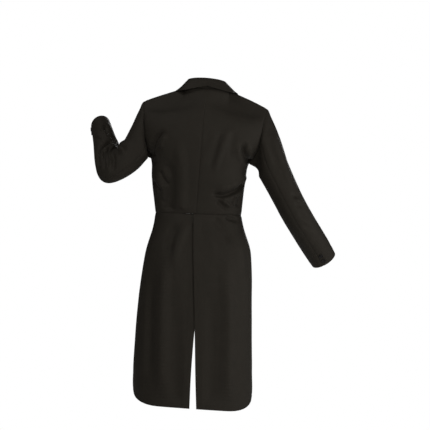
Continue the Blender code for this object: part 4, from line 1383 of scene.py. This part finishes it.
def wear(panel: Panel, cloth: Cloth) -> np.ndarray:
    """How far the folds and the cloth's own unevenness move each point of a panel."""
    points, normals = panel.grid.reshape(-1, 3), panel.normals.reshape(-1, 3)
    total = waver(points, cloth.waver_span) * cloth.waver
    for fold in folds_on(panel.name):
        total += fold.relief(points, normals)
    return total.reshape(panel.grid.shape[:2])


# The coat


@dataclass
class Tailcoat:
    """The whole coat: its panels cut, folded, sewn and buttoned."""

    cloth: Cloth = field(default_factory=Cloth)
    fineness: Fineness = field(default_factory=Fineness)
    stance: Stance = field(default_factory=Stance)
    # the middles that the cloth faces away from
    trunk: Triple = (0.02, -0.08, -0.30)
    skirt_middle: Triple = (0.04, -0.06, -0.80)
    least_lean: float = 0.6  # so that no wall grows too thick at a sharp seam

    def sleeves(self) -> dict[Side, Sleeve]:
        """The raised left sleeve and the hanging right one."""
        left = Sleeve(
            self.fineness, (0.203, -0.080, -0.1555), (0.335, -0.026, -0.313),
            (0.3895, -0.231, -0.129), bend_radius=0.052, cap_end=0.085,
            girth=(
                (0.00, 0.062, 0.066, 0.000, 0.00),
                (0.22, 0.053, 0.060, 0.000, 0.00),
                (0.36, 0.051, 0.060, 0.017, 0.00),
                (0.48, 0.044, 0.056, 0.045, 0.00),
                (0.62, 0.045, 0.052, 0.018, 0.02),
                (0.80, 0.046, 0.048, 0.002, 0.12),
                (1.00, 0.040, 0.042, 0.000, 0.16),
            ),
        )
        right = Sleeve(
            self.fineness, (-0.1845, -0.080, -0.180), (-0.3145, -0.062, -0.4430),
            (-0.424, -0.150, -0.619), bend_radius=0.260, cap_end=0.125,
            girth=(
                (0.00, 0.061, 0.066, 0.000, 0.00),
                (0.25, 0.058, 0.064, 0.000, 0.00),
                (0.45, 0.053, 0.060, 0.002, 0.00),
                (0.65, 0.052, 0.057, 0.003, 0.00),
                (0.82, 0.0515, 0.053, 0.000, 0.00),
                (0.93, 0.050, 0.050, 0.000, 0.00),
                (1.00, 0.047, 0.048, 0.000, 0.00),
            ),
        )
        return {Side.LEFT: left, Side.RIGHT: right}

    def cut(self) -> dict[str, Panel]:
        """The panels as cut, carried by the stance, with no folds yet."""
        seam, crown, hem, raw = Edge.SEAM, Edge.CROWN, Edge.HEM, Edge.RAW
        bodice, skirt = Bodice(self.fineness), Skirt(self.fineness)
        back = bodice.back()
        front = bodice.front(back)
        panels: dict[str, Panel] = {}
        for side, sleeve in self.sleeves().items():
            word = side.word

            def turned(grid: np.ndarray) -> np.ndarray:
                """The left half's panel as this side's own, in its stance."""
                return self.stance.pose(grid if side is Side.LEFT else mirrored(grid))

            posed_back, posed_front = turned(back), turned(front)
            tail = turned(skirt.tail(side, back, front))
            top, under = sleeve.pieces(bodice.armhole(posed_back, posed_front))
            for name, grid, edges in (
                ("back_", posed_back, (seam, seam, seam, seam)),
                ("front_", posed_front, (raw, seam, seam, raw)),
                ("tail_", tail, (seam, hem, hem, hem)),
                ("sleeve_top_", top, (crown, hem, seam, seam)),
                ("sleeve_under_", under, (seam, hem, seam, seam)),
            ):
                panels[name + word] = Panel(name + word, grid, edges)
        self.direct(panels)
        left = panels["tail_left"]
        left.grid = skirt.underlap(left.grid, left.normals, self.cloth)
        return panels

    def direct(self, panels: dict[str, Panel], keys: dict[str, np.ndarray] | None = None) -> None:
        """Gives the panels outward directions, shared at their seams."""
        own = []
        for name, panel in panels.items():
            vectors = grid_normals(panel.grid)
            if name.startswith("sleeve"):
                word = name.rsplit("_", 1)[1]
                pair = [panels["sleeve_top_" + word], panels["sleeve_under_" + word]]
                middle = sum(p.grid.mean(axis=1) for p in pair) / 2
                outward = panel.grid - middle[:, None]
            else:
                outward = panel.grid - np.array(self.skirt_middle if name.startswith("tail") else self.trunk)
            own.append(vectors if (vectors * outward).sum() > 0 else -vectors)
        vectors = np.concatenate([v.reshape(-1, 3) for v in own])
        drawn = [keys[name] if keys else panel.grid for name, panel in panels.items()]
        mean = unit(sums(same_places(drawn), vectors))
        leaning = np.sum(mean * vectors, axis=1, keepdims=True)
        mean = mean / np.clip(leaning, self.least_lean, 1.0)
        for panel, normals in zip(panels.values(), dealt(list(panels.values()), mean)):
            panel.normals = normals

    def fold(self, panels: dict[str, Panel]) -> None:
        """Lays the folds, seams and hems into the panels, the same on both sides of a seam."""
        keys = {name: panel.grid.copy() for name, panel in panels.items()}
        for name, panel in panels.items():
            lift = wear(panel, self.cloth) + panel.edge_relief(self.cloth)
            panel.grid = panel.grid + panel.normals * lift[..., None]
        self.meet(panels, keys)
        self.direct(panels, keys)

    def meet(self, panels: dict[str, Panel], keys: dict[str, np.ndarray]) -> None:
        """Brings the points that share a seam back together after folding."""
        places = same_places([keys[name] for name in panels])
        moved = np.concatenate([panel.grid.reshape(-1, 3) for panel in panels.values()])
        mean = sums(places, moved) / np.bincount(places)[places][:, None]
        for panel, grid in zip(panels.values(), dealt(list(panels.values()), mean)):
            panel.grid = grid

    def build(self) -> None:
        """Cuts, folds, sews and buttons the coat."""
        suiting, satin = SUITING.dressed(), SATIN.dressed()
        room = Workroom(self.cloth, LINING.dressed())
        panels = self.cut()
        self.fold(panels)
        for name, panel in panels.items():
            room.sew(panel, suiting, thin_first_row=name.startswith("sleeve"))
        ups = Bodice(self.fineness).ups()
        raw, seam = Edge.RAW, Edge.SEAM
        collar = Panel("collar", Collar(self.fineness, self.cloth).grid(panels, ups), (seam, raw, raw, raw))
        collar.normals = grid_normals(collar.grid)
        if collar.normals[-1, collar.columns // 2][1] < 0:
            collar.normals = -collar.normals
        room.sew(collar, suiting, inner_finish=suiting)
        for side in Side:
            front = panels["front_" + side.word]
            lapel = Panel("lapel_" + side.word, Lapel(self.fineness, self.cloth).grid(front, ups), (raw,) * 4)
            lapel.normals = grid_normals(lapel.grid)
            if lapel.normals[2, 2][1] > 0:
                lapel.normals = -lapel.normals
            room.sew(lapel, satin, inner_finish=satin)
        ButtonSet(self.cloth, HornFinish().dressed(), ThreadFinish().dressed()).build(panels, self.fineness)


# The studio


@dataclass
class Studio:
    """A plain pale floor, soft light and the camera."""

    distance: float = 14.0
    frame_width: float = 1.548  # of the view at the coat
    middle: Triple = (-0.029, 0.0, -0.457)
    floor_height: float = -1.52
    floor_size: float = 6.0
    sky: float = 0.02
    # name, place, size, power
    lamps: tuple[tuple[str, Triple, float, float], ...] = (
        ("right low", (-3.0, 1.6, -0.9), 1.2, 21.0),
        ("right back", (-2.2, 3.0, 0.2), 1.2, 17.0),
        ("right side", (-3.4, 0.3, 0.4), 1.2, 27.0),
        ("left top", (1.8, 0.9, 2.2), 1.2, 25.0),
        ("fill", (0.6, 3.6, 0.6), 2.0, 39.0),
        ("front key", (-0.8, -3.4, 0.5), 1.6, 50.0),
    )

    def build(self) -> None:
        """Sets out the floor, the lights and the camera."""
        self.floor()
        for lamp in self.lamps:
            self.light(*lamp)
        self.surroundings()
        self.camera()

    def floor(self) -> None:
        """The pale floor, where the wearer would stand."""
        bpy.ops.object.select_all(action="DESELECT")
        bpy.ops.mesh.primitive_plane_add(size=self.floor_size, location=(0, 0, self.floor_height))
        floor = bpy.context.object
        floor.name = "studio_floor"
        recipe = Recipe("studio floor", 0.9, {"Base Color": (0.86, 0.86, 0.86, 1)})
        floor.data.materials.append(recipe.material)

    def light(self, name: str, place: Triple, size: float, power: float) -> None:
        """A large square lamp aimed at the coat's middle."""
        data = bpy.data.lights.new(name, "AREA")
        data.size = size
        data.energy = power
        lamp = bpy.data.objects.new(name, data)
        lamp.location = place
        aim = Vector(self.middle) - Vector(place)
        lamp.rotation_euler = aim.to_track_quat("-Z", "Y").to_euler()
        bpy.context.scene.collection.objects.link(lamp)

    def surroundings(self) -> None:
        """White surroundings, softer on the coat than behind it."""
        world = bpy.data.worlds.new("studio")
        world.use_nodes = True
        bpy.context.scene.world = world
        tree = world.node_tree
        plain = tree.nodes["Background"]
        plain.inputs["Color"].default_value = (1, 1, 1, 1)
        plain.inputs["Strength"].default_value = self.sky
        behind = tree.nodes.new("ShaderNodeBackground")
        behind.inputs["Strength"].default_value = 1.0
        behind.inputs["Color"].default_value = (1, 1, 1, 1)
        seen = tree.nodes.new("ShaderNodeLightPath")
        choice = tree.nodes.new("ShaderNodeMixShader")
        tree.links.new(seen.outputs["Is Camera Ray"], choice.inputs["Fac"])
        tree.links.new(plain.outputs["Background"], choice.inputs[1])
        tree.links.new(behind.outputs["Background"], choice.inputs[2])
        tree.links.new(choice.outputs["Shader"], tree.nodes["World Output"].inputs["Surface"])
        bpy.context.scene.view_settings.view_transform = "Standard"

    def camera(self) -> None:
        """A long lens, level with the coat's middle and square to its back."""
        data = bpy.data.cameras.new("camera")
        data.sensor_width = 36.0
        data.lens = data.sensor_width * self.distance / self.frame_width
        data.clip_end = 100.0
        camera = bpy.data.objects.new("camera", data)
        camera.location = Vector(self.middle) + Vector((0, self.distance, 0))
        camera.rotation_euler = (math.radians(90), 0, math.radians(180))
        bpy.context.scene.collection.objects.link(camera)
        bpy.context.scene.camera = camera


def main() -> None:
    """Builds the coat in its studio and notes its size."""
    logging.basicConfig(level=logging.INFO, format="%(name)s %(message)s")
    Studio().build()
    Tailcoat().build()


if __name__ == "__main__":
    main()
